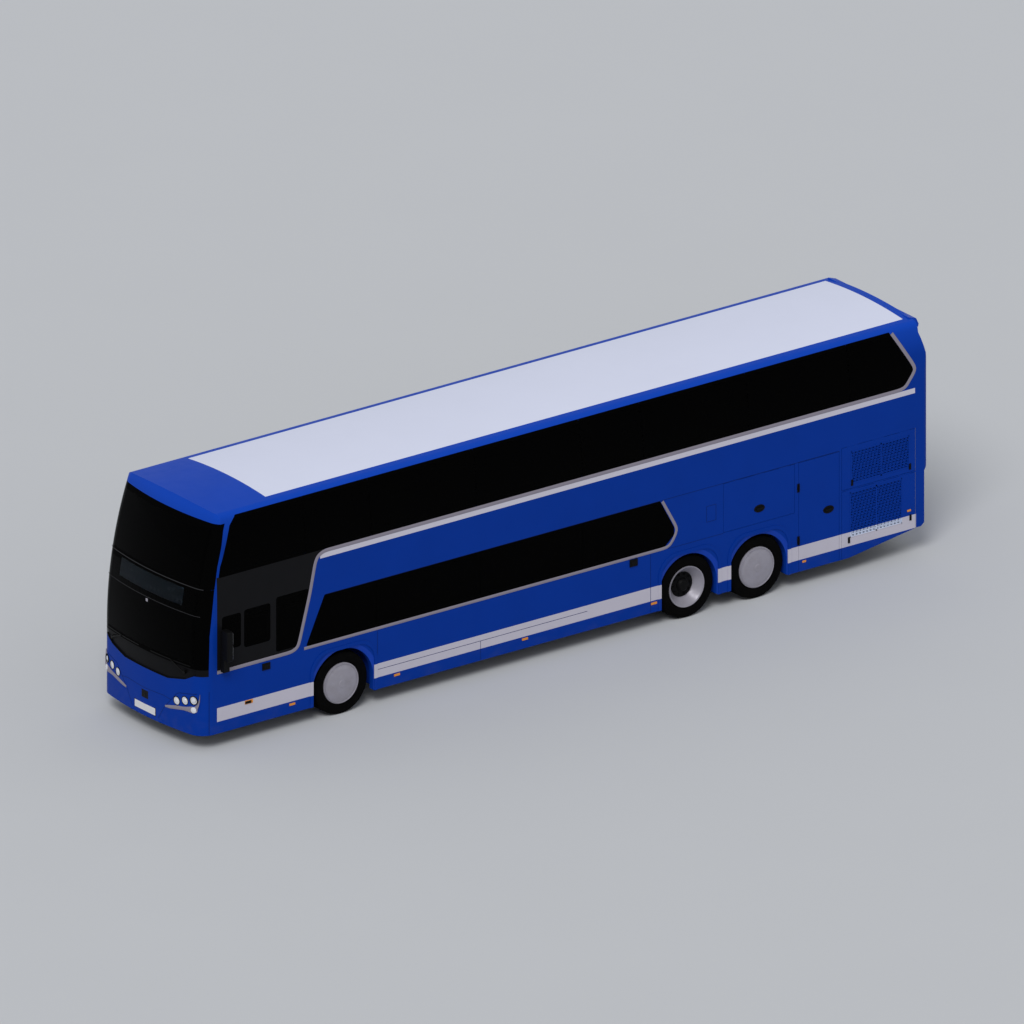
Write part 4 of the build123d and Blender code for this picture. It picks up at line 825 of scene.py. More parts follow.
for side_name, side in SIDES:
    bm = bmesh.new()
    for path, width in trim_paths(side):
        flank_moulding(bm, path, side, width, TRIM_PROUD)
    add_piece("silver_trims_" + side_name, bm, "coach", TRIM)
for door, (low, high), width in (("front_door", FRONT_DOOR, TRIM_W),
                                 ("middle_door", MIDDLE_DOOR, LOWER_TRIM_W)):
    bm = bmesh.new()
    path = ((high.x - LEAF_INSET, DOOR_TRIM_Z), (low.x + LEAF_INSET, DOOR_TRIM_Z))
    flank_moulding(bm, path, -1, width, TRIM_PROUD)
    add_piece(door + "_trim", bm, door, TRIM)

# ================================================================== seams and joints
SEAM_W = 0.007
SEAM_PROUD = 0.0012
SEAM_SECTION = ((-1.0, -0.001), (-1.0, SEAM_PROUD), (1.0, SEAM_PROUD), (1.0, -0.001))
# seams of the fixed flank, as (x, z) paths: those of both sides, and those of the left alone
FLANK_SEAMS = (((3.54, 0.27), (3.54, 1.236)), ((-1.705, 0.27), (-1.705, 1.236)),
               ((4.52, 2.077), (-5.33, 2.077)), ((-2.04, 1.25), (-3.10, 1.25)),
               ((6.765, 0.276), (6.765, 0.988)),
               ((-2.78, 1.51), (-2.96, 1.51), (-2.96, 1.77), (-2.78, 1.77), (-2.78, 1.51)))
LEFT_SEAMS = (((1.56, 0.27), (1.56, 0.59)), ((3.53, 0.59), (-0.49, 0.59)))
# seams of the front face, as (y, z) paths: round the left lamps, and across the middle
LAMP_SEAM = ((0.33, 0.33), (0.47, 0.551), (0.628, 0.722), (0.74, 0.845), (0.80, 0.885),
             (1.013, 0.925), (1.16, 0.955))
MIDDLE_SEAM = ((-0.62, 0.72), (-0.45, 0.745), (0.0, 0.725), (0.45, 0.745), (0.62, 0.72))
# rubber joints across the windscreens, as height and width, and the half length of both
SCREEN_JOINTS = ((2.650, 0.012), (2.218, 0.007))
SCREEN_JOINT_HALF_W = 1.17
SCREEN_JOINT_PROUD = 0.003
SEAM_STEP = 0.06               # points along the front face's seams are no further apart
JOINT_STEP = 0.08
SENSOR_PAD = (0.024, 2.145, 2.195, 0.006)      # half width, z_low, z_high, how proud

for side_name, side in SIDES:
    bm = bmesh.new()
    for path in FLANK_SEAMS + (LEFT_SEAMS if side > 0 else ()):
        for stretch in zip(path, path[1:]):
            points = refine(stretch, 0.5)
            normals = [Vector((0, side, 0))] * len(points)
            flank_strip(bm, points, side, normals, SEAM_W, SEAM_SECTION)
    add_piece("flank_seams_" + side_name, bm, "coach", SEAM)

bm = bmesh.new()
for path in [[(side * y, z) for y, z in LAMP_SEAM] for _, side in SIDES] + [MIDDLE_SEAM]:
    points = refine(path, SEAM_STEP)
    nose_moulding(bm, points, [SEAM_W] * len(points), SEAM_PROUD)
add_piece("nose_seams", bm, "coach", SEAM)

bm = bmesh.new()
for z, width in SCREEN_JOINTS:
    points = refine([(SCREEN_JOINT_HALF_W, z), (-SCREEN_JOINT_HALF_W, z)], JOINT_STEP)
    nose_moulding(bm, points, [width] * len(points), SCREEN_JOINT_PROUD)
add_piece("screen_joints", bm, "coach", JOINT)

bm = bmesh.new()
half_w, low, high, proud = SENSOR_PAD
seat = nose_x(0.1, (low + high) / 2)
add_box(bm, (seat - 0.003, -half_w, low), (seat + proud, half_w, high))
add_piece("screen_sensor", bm, "coach", WHEEL, bevel=0.004)

# ================================================================== head lamps and nose
# lamps on the left of the front face, as y, z, radius
HEAD_LAMPS = ((0.753, 0.741, 0.062), (0.930, 0.791, 0.062), (1.105, 0.838, 0.062))
FOG_LAMP = (1.112, 0.684, 0.048)
BEZEL_W = 0.012
BEZEL_PROUD = 0.006
BEZEL_ROOT = -0.012
SWOOSH = ((0.50, 0.580), (0.60, 0.597), (0.76, 0.632), (0.90, 0.655), (0.99, 0.668),
          (1.08, 0.680), (1.140, 0.712), (1.172, 0.775), (1.190, 0.86), (1.197, 0.955))
SWOOSH_W = (0.030, 0.052, 0.060, 0.056, 0.075, 0.105, 0.085, 0.050, 0.028, 0.006)
SWOOSH_PROUD = 0.009
# profiles of round parts, as (share of the radius, height)
PROJECTOR = ((1.0, -0.002), (0.9, 0.003), (0.6, 0.006), (0.0, 0.008))
PROJECTOR_SHARE = 0.62         # a projector's radius as a share of its lamp's
FOG_LENS = ((1.0, -0.004), (1.0, 0.013), (0.8, 0.018), (0.0, 0.021))
TOW_CAP = ((0.0, 0.0035), (0.85, 0.003), (1.0, 0.0005), (0.8, -0.006))
# the round cap over the hole that leads to the tow socket, the plate and the sensor
TOW_Y = 0.42
TOW_Z = 0.34
TOW_CAP_R = 0.040
PLATE_HALF_W = 0.26
PLATE_Z = (0.345, 0.462)
HOLDER_MARGIN = 0.012
SENSOR_HALF_W = 0.085
SENSOR_Z = (0.556, 0.690)
SENSOR_DOME = ((0.0, 0.004), (0.026, 0.002), (0.030, -0.004))


def scaled(profile, radius):
    """A round profile whose radii were given as shares."""
    return [(share * radius, height) for share, height in profile]


def bezel_ring(radius):
    return [(radius - 0.002, BEZEL_ROOT), (radius + 0.002, BEZEL_PROUD), (radius + BEZEL_W, 0.001),
            (radius + BEZEL_W, BEZEL_ROOT)]


def nose_slab(bm, half_w, z_range, proud):
    """A flat rectangular body seated in the middle of the front face."""
    seat = nose_x(half_w, sum(z_range) / 2) - 0.004
    add_box(bm, (seat, -half_w, z_range[0]), (nose_x(0, z_range[0]) + proud, half_w, z_range[1]))


bezels = bmesh.new()
domes = bmesh.new()
swoosh = bmesh.new()
for _, side in SIDES:
    for y, z, radius in HEAD_LAMPS:
        at = (nose_x(side * y, z), side * y, z)
        out = nose_normal(side * y, z)
        add_lathe(bezels, bezel_ring(radius), at, out, 40, closed=True)
        add_lathe(domes, scaled(PROJECTOR, radius * PROJECTOR_SHARE), at, out, 32)
    nose_moulding(swoosh, [(side * y, z) for y, z in SWOOSH], SWOOSH_W, SWOOSH_PROUD)
    y, z, radius = FOG_LAMP
    at = (nose_x(side * y, z), side * y, z)
    add_lathe(domes, scaled(FOG_LENS, radius), at, nose_normal(side * y, z), 40)
add_piece("head_lamp_bezels", bezels, "coach", SATIN)
add_piece("head_lamp_projectors", domes, "coach", CLEAR_LENS)
add_piece("head_lamp_swooshes", swoosh, "coach", TRIM)

bm = bmesh.new()
cap_x = (nose_x(TOW_Y - 0.06, TOW_Z) + nose_x(TOW_Y + 0.06, TOW_Z)) / 2
out = nose_normal(TOW_Y + 0.12, TOW_Z)
add_lathe(bm, scaled(TOW_CAP, TOW_CAP_R), (cap_x, TOW_Y, TOW_Z), out, 40)
add_piece("tow_socket_cap", bm, "coach", PAINT)

bm = bmesh.new()
holder_z = (PLATE_Z[0] - HOLDER_MARGIN, PLATE_Z[1] + HOLDER_MARGIN)
nose_slab(bm, PLATE_HALF_W + HOLDER_MARGIN, holder_z, -0.004)
add_piece("front_plate_holder", bm, "coach", PLASTIC, bevel=0.003)
bm = bmesh.new()
nose_slab(bm, PLATE_HALF_W, PLATE_Z, 0.0)
add_piece("front_plate_blank", bm, "coach", PLATE, bevel=0.002)
bm = bmesh.new()
nose_slab(bm, SENSOR_HALF_W, SENSOR_Z, 0.0)
at = (nose_x(0, SENSOR_Z[0]) - 0.001, 0, sum(SENSOR_Z) / 2)
add_lathe(bm, SENSOR_DOME, at, (1, 0, 0), 32)
add_piece("front_sensor", bm, "coach", SATIN, bevel=0.004)

# ================================================================== side furniture
# black boxes, as x, z, length, height, how proud
LAMP_BODY = (6.025, 0.651, 0.120, 0.044, 0.011)     # dark body in the left front indicator
CAB_VENT = (5.68, 1.16, 0.15, 0.11, 0.016)          # on the left alone
MIDDLE_VENT = (-1.375, 1.18, 0.15, 0.12, 0.016)
VENT_LIP = (0.7, 0.55, 0.006)  # share of a vent's length, of its height, and how much prouder
# what sits on moving panels, as x, z, and its size as length, height, how proud
LATCHES = {"upper_flap_": ((-5.572, 1.497), (-6.684, 1.499)),
           "lower_flap_": ((-5.512, 0.560), (-6.693, 0.654))}
LATCH_PLATE = (0.040, 0.100, 0.010)
LATCH_GRIP = (0.024, 0.050, 0.016)
LATCH_GRIP_UP = 0.012
PANEL_MARKERS = {"service_door_": (-4.652, 0.416), "lower_flap_": (-6.665, 0.773)}
MARKER = (0.070, 0.034, 0.008)
ROUND_LOCKS = {"locker_door_": (-3.794, 1.498), "service_door_": (-5.12, 1.164)}
LOCK_R = 0.080
LOCK_DISH = ((0.0, 0.003), (0.70, 0.003), (0.78, 0.010), (0.94, 0.010), (1.0, 0.004),
             (1.0, -0.001))
LOCK_STRETCH = (1.30, 0.78)    # the round dish drawn out into an oval: along, upwards
LOCK_BAR = (0.135, 0.034, 0.014)
# slim outer lenses of the tail lamps, wrapped round the rear corners
TAIL_STRIP = ((-6.915, 0.70), (-6.915, 1.34))
TAIL_STRIP_W = 0.034


def flank_box(bm, x, z, length, height, proud, side):
    y = (side * (HALF_W - 0.002), side * (HALF_W + proud))
    add_box(bm, (x - length / 2, min(y), z - height / 2), (x + length / 2, max(y), z + height / 2))


def add_vent(bm, vent, side):
    x, z, length, height, proud = vent
    long_share, high_share, step = VENT_LIP
    flank_box(bm, *vent, side)
    flank_box(bm, x, z, length * long_share, height * high_share, proud + step, side)


def add_lock(bm, x, z, side):
    """A dish drawn out into an oval, with a bar across it."""
    add_lathe(bm, scaled(LOCK_DISH, LOCK_R), (x, side * (HALF_W - 0.001), z), (0, side, 0), 40)
    for vert in bm.verts:
        vert.co.x = x + (vert.co.x - x) * LOCK_STRETCH[0]
        vert.co.z = z + (vert.co.z - z) * LOCK_STRETCH[1]
    flank_box(bm, x, z, *LOCK_BAR, side)


for side_name, side in SIDES:
    bm = bmesh.new()
    if side > 0:
        add_vent(bm, CAB_VENT, side)
        flank_box(bm, *LAMP_BODY, side)
    add_vent(bm, MIDDLE_VENT, side)
    add_piece("side_vents_" + side_name, bm, "coach", PLASTIC, bevel=0.003)
    for flap, places in LATCHES.items():
        panel = flap + side_name
        bm = bmesh.new()
        for x, z in places:
            flank_box(bm, x, z, *LATCH_PLATE, side)
            flank_box(bm, x, z + LATCH_GRIP_UP, *LATCH_GRIP, side)
        add_piece(panel + "_latches", bm, panel, PLASTIC, bevel=0.004)
    for door, (x, z) in ROUND_LOCKS.items():
        panel = door + side_name
        bm = bmesh.new()
        add_lock(bm, x, z, side)
        add_piece(panel + "_lock", bm, panel, PLASTIC, bevel=0.003)
    for door, (x, z) in PANEL_MARKERS.items():
        panel = door + side_name
        bm = bmesh.new()
        flank_box(bm, x, z, *MARKER, side)
        add_piece(panel + "_marker", bm, panel, AMBER_LENS, bevel=0.003)

bm = bmesh.new()
for _, side in SIDES:
    flank_moulding(bm, TAIL_STRIP, side, TAIL_STRIP_W, 0.007)
add_piece("tail_corner_lenses", bm, "coach", CLEAR_LENS)

# ================================================================== woven grilles
# x_rear, x_front, z_low, z_high, place of the bar between the two halves
GRILLES = {"upper_flap_": (-6.669, -5.556, 1.490, 2.008, -6.13),
           "lower_flap_": (-6.530, -5.534, 0.603, 1.335, -6.04)}
MESH_SLOPE = 0.6
MESH_PITCH = 0.040
MESH_DEPTH = 0.006
WIRE_W = 0.011
WIRE_T = 0.003
WIRE_SECTION = ((-1.0, 0.0), (-1.0, WIRE_T), (1.0, WIRE_T), (1.0, 0.0))
GRILLE_BAR_W = 0.024
GRILLE_BAR_PROUD = 0.003
SHORTEST_WIRE = 0.004


def clipped_diagonal(offset, slope, x0, x1, z0, z1):
    """The stretch of the line z = slope * x + offset inside a rectangle, or nothing."""
    ends = sorted(((z0 - offset) / slope, (z1 - offset) / slope))
    start = max(x0, ends[0])
    stop = min(x1, ends[1])
    if stop - start < SHORTEST_WIRE:
        return None
    return (start, slope * start + offset), (stop, slope * stop + offset)


def add_grille(bm, zone, side):
    """Two layers of slanting wires that cross, inside a frame with a bar."""
    x0, x1, z0, z1, bar = zone
    out = Vector((0, side, 0))
    for slope, lift in ((MESH_SLOPE, 0.0), (-MESH_SLOPE, WIRE_T)):
        reach = abs(slope) * (x1 - x0) + (z1 - z0)
        base = z0 - max(slope * x0, slope * x1)
        for k in range(int(reach / MESH_PITCH) + 1):
            run = clipped_diagonal(base + k * MESH_PITCH, slope, x0, x1, z0, z1)
            if run is None:
                continue
            ends = [Vector((x, side * (HALF_W - MESH_DEPTH + lift), z)) for x, z in run]
            across = (ends[1] - ends[0]).normalized().cross(out)
            add_strip(bm, ends, [across] * 2, [out] * 2, [WIRE_W / 2] * 2, WIRE_SECTION)
    for x in (x0, bar, x1):
        flank_box(bm, x, (z0 + z1) / 2, GRILLE_BAR_W, z1 - z0 + GRILLE_BAR_W, GRILLE_BAR_PROUD,
                  side)
    for z in (z0, z1):
        flank_box(bm, (x0 + x1) / 2, z, x1 - x0, GRILLE_BAR_W, GRILLE_BAR_PROUD, side)


for side_name, side in SIDES:
    for flap, zone in GRILLES.items():
        bm = bmesh.new()
        add_grille(bm, zone, side)
        add_piece(flap + side_name + "_mesh", bm, flap + side_name, PAINT)

# ================================================================== tyres and wheels
TYRE_SEGMENTS = 192
SHOULDER_CUTS = {"front": 8, "tag": 8, "drive": 6}     # segments from one cross groove to the next
SHOULDER_R = 0.5055            # cross grooves cut what lies beyond this radius
SHOULDER_Y = 0.087             # and beyond this distance from the middle plane
SHOULDER_CUT = 0.007
TREAD_GROOVE = 0.011
# half section of a tyre from bead to tread: radius, distance from its middle plane
TYRE_HALF = ((0.334, 0.108), (0.338, 0.122), (0.350, 0.131), (0.356, 0.1315), (0.360, 0.1355),
             (0.380, 0.1415), (0.405, 0.1445), (0.409, 0.1430), (0.413, 0.1447), (0.440, 0.1440),
             (0.462, 0.1415), (0.466, 0.1395), (0.470, 0.1402), (0.482, 0.1375), (0.494, 0.131),
             (0.503, 0.122), (0.5085, 0.110))
TYRE_INSIDE = ((0.345, -0.100), (0.42, -0.125), (0.488, -0.118), (0.488, 0.118),
               (0.42, 0.125), (0.345, 0.100))
# ribs across the tread, as the edges of each groove from the middle plane
TREAD_GROOVES = ((0.086, 0.074), (0.038, 0.026))
TREAD_CROWN = 0.510

BOLTS = 10
NUT_CIRCLE = 0.1675
COVER_SCREW_CIRCLE = 0.285
COVER_SCREW_DEPTH = 0.0285
DRIVE_FACE_DEPTH = 0.04        # the outer drive tyre's face, from the flank
DISH_FLOOR = -0.004            # black bottom of the drive wheels' dish, from the middle plane
# profiles of round parts, as (radius, height)
HUB = ((0.0, 0.004), (0.060, 0.003), (0.066, -0.002), (0.066, -0.010))
RIM_EDGE = ((0.302, -0.030), (0.306, -0.022), (0.314, -0.021), (0.318, -0.030))
COVER_SCREW = ((0.0, 0.007), (0.007, 0.006), (0.009, 0.0))
NUT = ((0.017, -0.002), (0.017, 0.020), (0.0136, 0.024), (0.009, 0.024), (0.008, 0.034),
       (0.0, 0.035))
DISH = ((0.330, 0.122), (0.326, 0.134), (0.320, 0.134), (0.314, 0.124), (0.212, 0.004),
        (0.204, DISH_FLOOR - 0.004), (0.204, DISH_FLOOR - 0.010), (0.218, 0.000))
HUB_CAP = ((0.0, 0.068), (0.050, 0.067), (0.078, 0.063), (0.100, 0.041),
           (0.112, DISH_FLOOR + 0.010), (0.130, DISH_FLOOR + 0.004), (0.205, DISH_FLOOR),
           (0.208, DISH_FLOOR - 0.006))
FRONT_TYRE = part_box("tyre_front_left")
TYRE_W = FRONT_TYRE[1].y - FRONT_TYRE[0].y


def tyre_section():
    """Half section over the shoulder and ribs, then mirrored to the other bead."""
    half = list(TYRE_HALF)
    for outer, inner in TREAD_GROOVES:
        top = TREAD_CROWN - 0.10 * outer ** 2
        bottom = top - TREAD_GROOVE
        half += [(top, outer), (bottom, outer - 0.002), (bottom, inner + 0.002), (top, inner)]
    return half + [(r, -w) for r, w in reversed(half)]


def add_tyre(bm, x, y, z, spacing):
    """One tyre: ribs round it, and cross grooves in its shoulders."""
    section = tyre_section() + list(TYRE_INSIDE)
    rings = []
    for k in range(TYRE_SEGMENTS):
        angle = 2 * math.pi * k / TYRE_SEGMENTS
        cut = k % spacing in (0, 1)
        ring = []
        for r, w in section:
            if cut and r > SHOULDER_R and abs(w) > SHOULDER_Y:
                r -= SHOULDER_CUT
            ring.append(bm.verts.new((x + r * math.sin(angle), y + w, z + r * math.cos(angle))))
        rings.append(ring)
    join_rings(bm, rings + rings[:1])


def add_tyres(axle, side_name, body, node, offsets):
    """The tyres that take the place of one CAD node, at offsets from the node's middle."""
    low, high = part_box(node)
    middle = (low + high) / 2
    bm = bmesh.new()
    for y in offsets:
        add_tyre(bm, middle.x, middle.y + y, middle.z, SHOULDER_CUTS[axle])
    tyre = add_piece("tread_%s_%s" % (axle, side_name), bm, body, RUBBER, sharp=28.0)
    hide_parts(node)


def bolt_circle(bm, centre, side, radius, turn, profile, segments):
    """Ten bolts in a circle on a wheel, turned by a share of their spacing."""
    for k in range(BOLTS):
        angle = 2 * math.pi * (k + turn) / BOLTS
        at = (centre.x + radius * math.cos(angle), centre.y, centre.z + radius * math.sin(angle))
        add_lathe(bm, profile, at, (0, side, 0), segments)


for side_name, side in SIDES:
    for axle in ("front", "tag"):
        wheel = "wheel_%s_%s" % (axle, side_name)
        add_tyres(axle, side_name, wheel, "tyre_%s_%s" % (axle, side_name), (0.0,))
    low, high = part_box("tyres_drive_" + side_name)
    offset = (high.y - low.y - TYRE_W) / 2
    add_tyres("drive", side_name, "wheels_drive_" + side_name, "tyres_drive_" + side_name,
              (-offset, offset))

for side_name, side in SIDES:
    out = (0, side, 0)
    for axle in ("front", "tag"):
        low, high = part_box("rim_%s_%s" % (axle, side_name))
        face = (low + high) / 2
        face.y = high.y if side > 0 else low.y
        bm = bmesh.new()
        add_lathe(bm, HUB, face, out, 40)
        add_lathe(bm, RIM_EDGE, face, out, 72, closed=True)
        screws = Vector((face.x, face.y - side * COVER_SCREW_DEPTH, face.z))
        bolt_circle(bm, screws, side, COVER_SCREW_CIRCLE, 0.5, COVER_SCREW, 12)
        wheel = "wheel_%s_%s" % (axle, side_name)
        add_piece("wheel_cover_%s_%s" % (axle, side_name), bm, wheel, WHEEL)
    wheels = "wheels_drive_" + side_name
    low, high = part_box("rim_drive_" + side_name)
    middle = (low + high) / 2
    middle.y = side * (HALF_W - DRIVE_FACE_DEPTH - TYRE_W / 2)
    bm = bmesh.new()
    add_lathe(bm, DISH, middle, out, 96, closed=True)
    add_piece("wheel_dish_drive_" + side_name, bm, wheels, WHEEL)
    bm = bmesh.new()
    nuts = Vector((middle.x, middle.y + side * DISH_FLOOR, middle.z))
    bolt_circle(bm, nuts, side, NUT_CIRCLE, 0, NUT, 6)
    add_piece("wheel_nuts_drive_" + side_name, bm, wheels, PLASTIC, sharp=20.0)
    bm = bmesh.new()
    add_lathe(bm, HUB_CAP, middle, out, 48)
    add_piece("hub_cap_drive_" + side_name, bm, wheels, PLASTIC)

# ================================================================== seats
SEAT_PITCH = 0.8
SEAT_SIDE_Y = 1.17
SEAT_W = 0.9
UPPER_FLOOR_Z = 2.15
LOWER_FLOOR_Z = 0.38
UPPER_FIRST_X = 5.25
LOWER_FIRST_X = 2.9
# where no seat stands, as row and side
UPPER_GAPS = ((5, 1), (6, 1))
LOWER_GAPS = ((1, 1), (2, 1), (3, 1), (1, -1), (2, -1), (3, -1))
PLACE_W = 0.44                 # width of one person's cushion


def drawn_in(c, across, up):
    """A coordinate from -1 to 1, drawn in a little where the form turns its corners."""
    return c * math.sqrt(1 - (across * across) / 2 * 0.10 - (up * up) / 2 * 0.30)


def pillow(size, crown, pull, cells):
    """A closed cushion form about the origin: crowned faces, and sides pulled in between corners.

    Returns its points and faces, so that the same cushion can be set in many seats."""
    bm = bmesh.new()
    bmesh.ops.create_cube(bm, size=1.0)
    bmesh.ops.subdivide_edges(bm, edges=bm.edges[:], cuts=cells, use_grid_fill=True)
    for vert in bm.verts:
        x, y, z = (2 * c for c in vert.co)
        swell = (1 - x * x) * (1 - y * y)
        edge = 1 - pull * ((1 - x * x) * abs(y) ** 3 + (1 - y * y) * abs(x) ** 3)
        z_new = z * (0.5 * size[2] - 0.22 * size[2] * max(abs(x), abs(y)) ** 6) + crown * swell * z
        vert.co = Vector((drawn_in(x, y, z) * size[0] / 2 * edge,
                          drawn_in(y, x, z) * size[1] / 2 * edge, z_new))
    points = [v.co.copy() for v in bm.verts]
    faces = [[v.index for v in f.verts] for f in bm.faces]
    bm.free()
    return points, faces


PAD_PRESSURE = 4.0
PAD_FRAMES = 20
PAD_QUALITY = 6
SWELL_CAP = 0.012              # the most that the filling may push a point of a cover out
SEWN_REACH = 0.06              # how far a sewn channel reaches, as a share of the half width
SEWN_SHARE = 0.15              # how much of the swell its stitches let through


def stuffed(form, sewn=None):
    """The form as a cloth cover that its filling has blown up from inside, within a cap.

    A sewn channel runs down each half at this share of the half width, where stitches hold
    the cover back."""
    points, faces = form
    half_w = max(p.y for p in points)
    mesh = bpy.data.meshes.new("stuffed_form")
    mesh.from_pydata(points, [], faces)
    pad = place_object("stuffed_form", mesh)
    scene = bpy.context.scene
    cloth = pad.modifiers.new("cloth", "CLOTH")
    cloth.settings.quality = PAD_QUALITY
    cloth.settings.use_pressure = True
    cloth.settings.uniform_pressure_force = PAD_PRESSURE
    cloth.settings.effector_weights.gravity = 0.0
    cloth.point_cache.frame_start = 1
    cloth.point_cache.frame_end = PAD_FRAMES
    for frame_number in range(1, PAD_FRAMES + 1):
        scene.frame_set(frame_number)
    blown = pad.evaluated_get(bpy.context.evaluated_depsgraph_get()).data
    moved = []
    for start, vert in zip(points, blown.vertices):
        push = vert.co - start
        share = SWELL_CAP / max(push.length, SWELL_CAP)
        if sewn and abs(abs(start.y) / half_w - sewn) < SEWN_REACH:
            share *= SEWN_SHARE
        moved.append(start + push * share)
    scene.frame_set(1)
    bpy.data.objects.remove(pad)
    bpy.data.meshes.remove(mesh)
    return moved, faces


def set_in(bm, form, matrix):
    """Place a stored form in a piece."""
    points, faces = form
    verts = [bm.verts.new(matrix @ p) for p in points]
    for face in faces:
        bm.faces.new([verts[i] for i in face])


def set_parts(bm, x, y, floor, parts):
    """Set forms in a seat, from a list as in SEAT_PADS."""
    for form, ahead, up, lean in parts:
        turn = Matrix.Rotation(math.radians(lean), 4, "Y")
        set_in(bm, form, Matrix.Translation((x + ahead, y, floor + up)) @ turn)


def set_boxes(bm, x, y, floor, boxes):
    """Set boxes in a seat, from a list as in SEAT_FRAME."""
    for x_range, y_range, z_range in boxes:
        low, high = zip(x_range, y_range, z_range)
        add_box(bm, (x + low[0], y + low[1], floor + low[2]),
                (x + high[0], y + high[1], floor + high[2]))


CUSHION = stuffed(pillow((0.43, PLACE_W - 0.02, 0.105), 0.016, 0.035, 9), 0.4)
BACK_PANEL = stuffed(pillow((0.078, PLACE_W - 0.02, 0.50), 0.0, 0.02, 9), 0.4)
BACK_SHELL = pillow((0.026, PLACE_W - 0.01, 0.86), 0.0, 0.01, 5)
HEADREST = stuffed(pillow((0.065, PLACE_W - 0.14, 0.17), 0.0, 0.06, 5))
# forms in one place of a seat, with how far ahead of its foot, how far above it, and their lean
SEAT_PADS = ((CUSHION, 0.255, 0.412, -3.0), (BACK_PANEL, 0.008, 0.675, -9.0),
             (HEADREST, -0.052, 0.985, -9.0))
SEAT_SHELLS = ((BACK_SHELL, -0.061, 0.745, -9.0),)
# boxes of a double seat's frame, as x, y and z ranges from its foot
ARM_W = 0.020
SEAT_FRAME = []
for arm_y in (-0.45, -0.01, 0.43):
    SEAT_FRAME.append(((-0.05, 0.31), (arm_y, arm_y + ARM_W), (0.545, 0.58)))
    SEAT_FRAME.append(((-0.02, 0.03), (arm_y, arm_y + ARM_W), (0.34, 0.55)))
SEAT_FRAME += [((0.04, 0.44), (0.02 - SEAT_W / 2, SEAT_W / 2 - 0.02), (0.335, 0.355)),
               ((0.14, 0.28), (-0.05, 0.05), (0.0, 0.34)),
               ((0.10, 0.34), (-0.16, 0.16), (0.0, 0.012))]


def seat_places(first_x, rows, gaps):
    """Where each double seat stands, from front to back: x, and y of its middle."""
    for row in range(rows):
        for side in (-1, 1):
            if (row, side) not in gaps:
                yield first_x - row * SEAT_PITCH, side * (SEAT_SIDE_Y - SEAT_W / 2)


def build_seats(name, node, floor, places):
    """Padded cushions, backs and headrests, and the frames that carry them."""
    soft = bmesh.new()
    hard = bmesh.new()
    for x, y in places:
        for half in (-1, 1):
            set_parts(soft, x, y + half * SEAT_W / 4, floor, SEAT_PADS)
            set_parts(hard, x, y + half * SEAT_W / 4, floor, SEAT_SHELLS)
        set_boxes(hard, x, y, floor, SEAT_FRAME)
    cushions = add_piece(name + "_cushions", soft, "coach", FABRIC, sharp=75.0)
    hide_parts(node)
    add_piece(name + "_frames", hard, "coach", SATIN, bevel=0.004)


build_seats("upper_seats", "seats_upper", UPPER_FLOOR_Z,
            seat_places(UPPER_FIRST_X, 15, UPPER_GAPS))
build_seats("lower_seats", "seats_lower", LOWER_FLOOR_Z,
            seat_places(LOWER_FIRST_X, 6, LOWER_GAPS))

DRIVER_SEAT = (5.25, 0.72, 0.56)       # x, y and z of its foot
DRIVER_CUSHION = stuffed(pillow((0.47, 0.50, 0.11), 0.018, 0.035, 9), 0.4)
DRIVER_BACK = stuffed(pillow((0.09, 0.48, 0.56), 0.0, 0.03, 9), 0.4)
DRIVER_PADS = ((DRIVER_CUSHION, 0.27, 0.405, -3.0), (DRIVER_BACK, -0.01, 0.72, -11.0),
               (HEADREST, -0.085, 1.065, -11.0))
DRIVER_BASE = (((0.14, 0.36), (-0.13, 0.13), (0.0, 0.30)),
               ((0.04, 0.46), (-0.24, 0.24), (0.30, 0.345)))
soft = bmesh.new()
set_parts(soft, *DRIVER_SEAT, DRIVER_PADS)
driver = add_piece("driver_seat_cushions", soft, "coach", DRIVER_FABRIC, sharp=75.0)
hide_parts("driver_seat")
bm = bmesh.new()
set_boxes(bm, *DRIVER_SEAT, DRIVER_BASE)
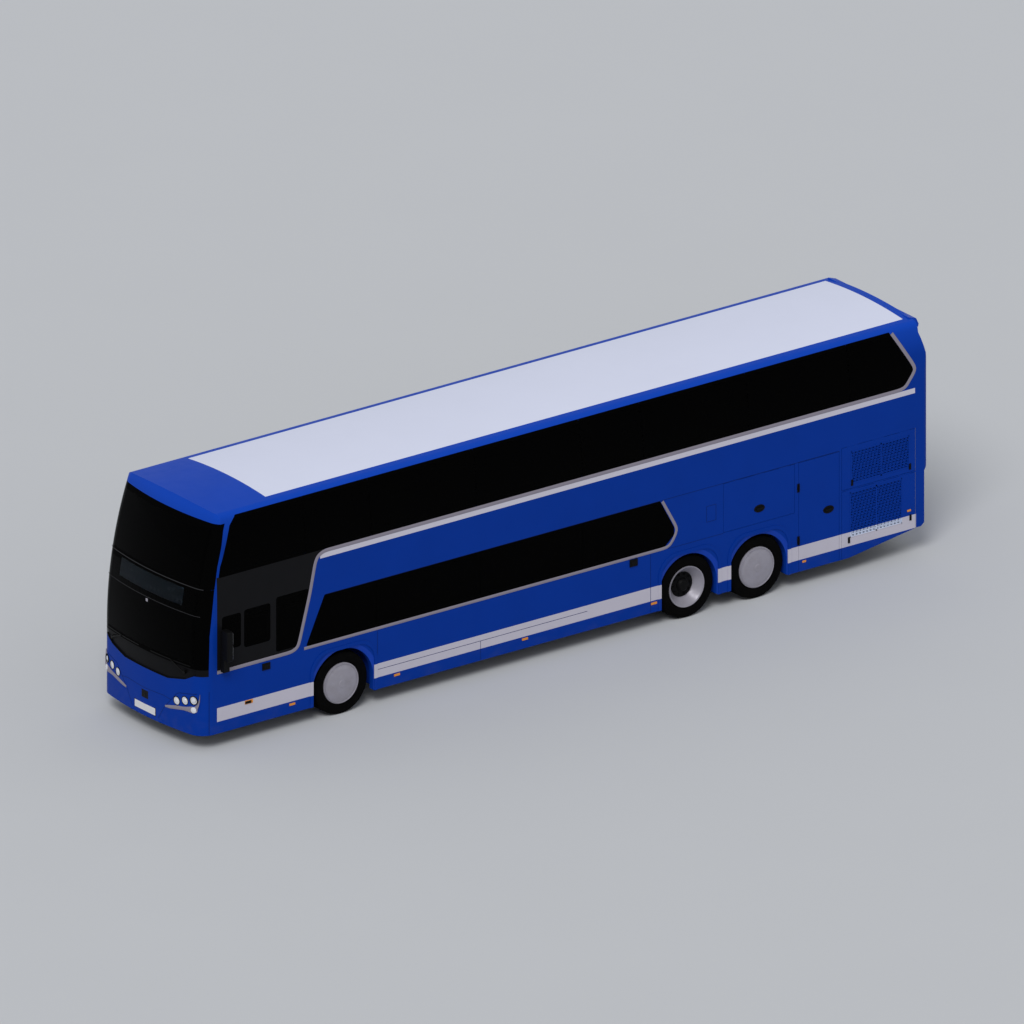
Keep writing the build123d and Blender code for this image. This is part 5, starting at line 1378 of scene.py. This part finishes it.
add_piece("driver_seat_base", bm, "coach", SATIN, bevel=0.008)

# ================================================================== mirrors
MIRROR_X = (6.456, 6.462)
MIRROR_Y = (1.318, 1.472)
MIRROR_PANES = ((1.525, 1.735), (1.765, 1.955))    # z_low and z_high of each
bm = bmesh.new()
for _, side in SIDES:
    inner, outer = sorted(side * y for y in MIRROR_Y)
    for z0, z1 in MIRROR_PANES:
        add_box(bm, (MIRROR_X[0], inner, z0), (MIRROR_X[1], outer, z1))
add_piece("mirror_glasses", bm, "coach", MIRROR, bevel=0.002)

# ================================================================== studio
SKY = (0.93, 0.96, 1.0, 1.0)
SKY_STRENGTH = 0.5
SUN_STRENGTH = 1.5
SUN_SPREAD = math.radians(24.0)
SUN_DIRECTION = Vector((0.50, 0.46, 0.73))
FLOOR_R = 160.0
FAR = 400.0

world = bpy.data.worlds.new("studio")
bpy.context.scene.world = world
world.use_nodes = True
background = world.node_tree.nodes["Background"]
background.inputs["Color"].default_value = SKY
background.inputs["Strength"].default_value = SKY_STRENGTH

sun_data = bpy.data.lights.new("soft_key", "SUN")
sun_data.energy = SUN_STRENGTH
sun_data.angle = SUN_SPREAD
sun = place_object("soft_key", sun_data)
sun.rotation_euler = SUN_DIRECTION.to_track_quat("Z", "Y").to_euler()

bm = bmesh.new()
bmesh.ops.create_circle(bm, cap_ends=True, segments=96, radius=FLOOR_R)
floor_mesh = bpy.data.meshes.new("studio_floor")
bm.to_mesh(floor_mesh)
bm.free()
floor_mesh.materials.append(STUDIO)
floor = place_object("studio_floor", floor_mesh)

camera_data = bpy.data.cameras.new("view")
camera_data.type = "ORTHO"
camera_data.ortho_scale = VIEW_SCALE
camera_data.clip_end = FAR
camera = place_object("view", camera_data)
look_at = Vector((0.0, 0.0, CAD_BOX[1][2] / 2))
camera.location = look_at + VIEW_DIRECTION * VIEW_DISTANCE
camera.rotation_euler = VIEW_DIRECTION.to_track_quat("Z", "Y").to_euler()
bpy.context.scene.camera = camera
bpy.context.scene.view_settings.view_transform = "Standard"
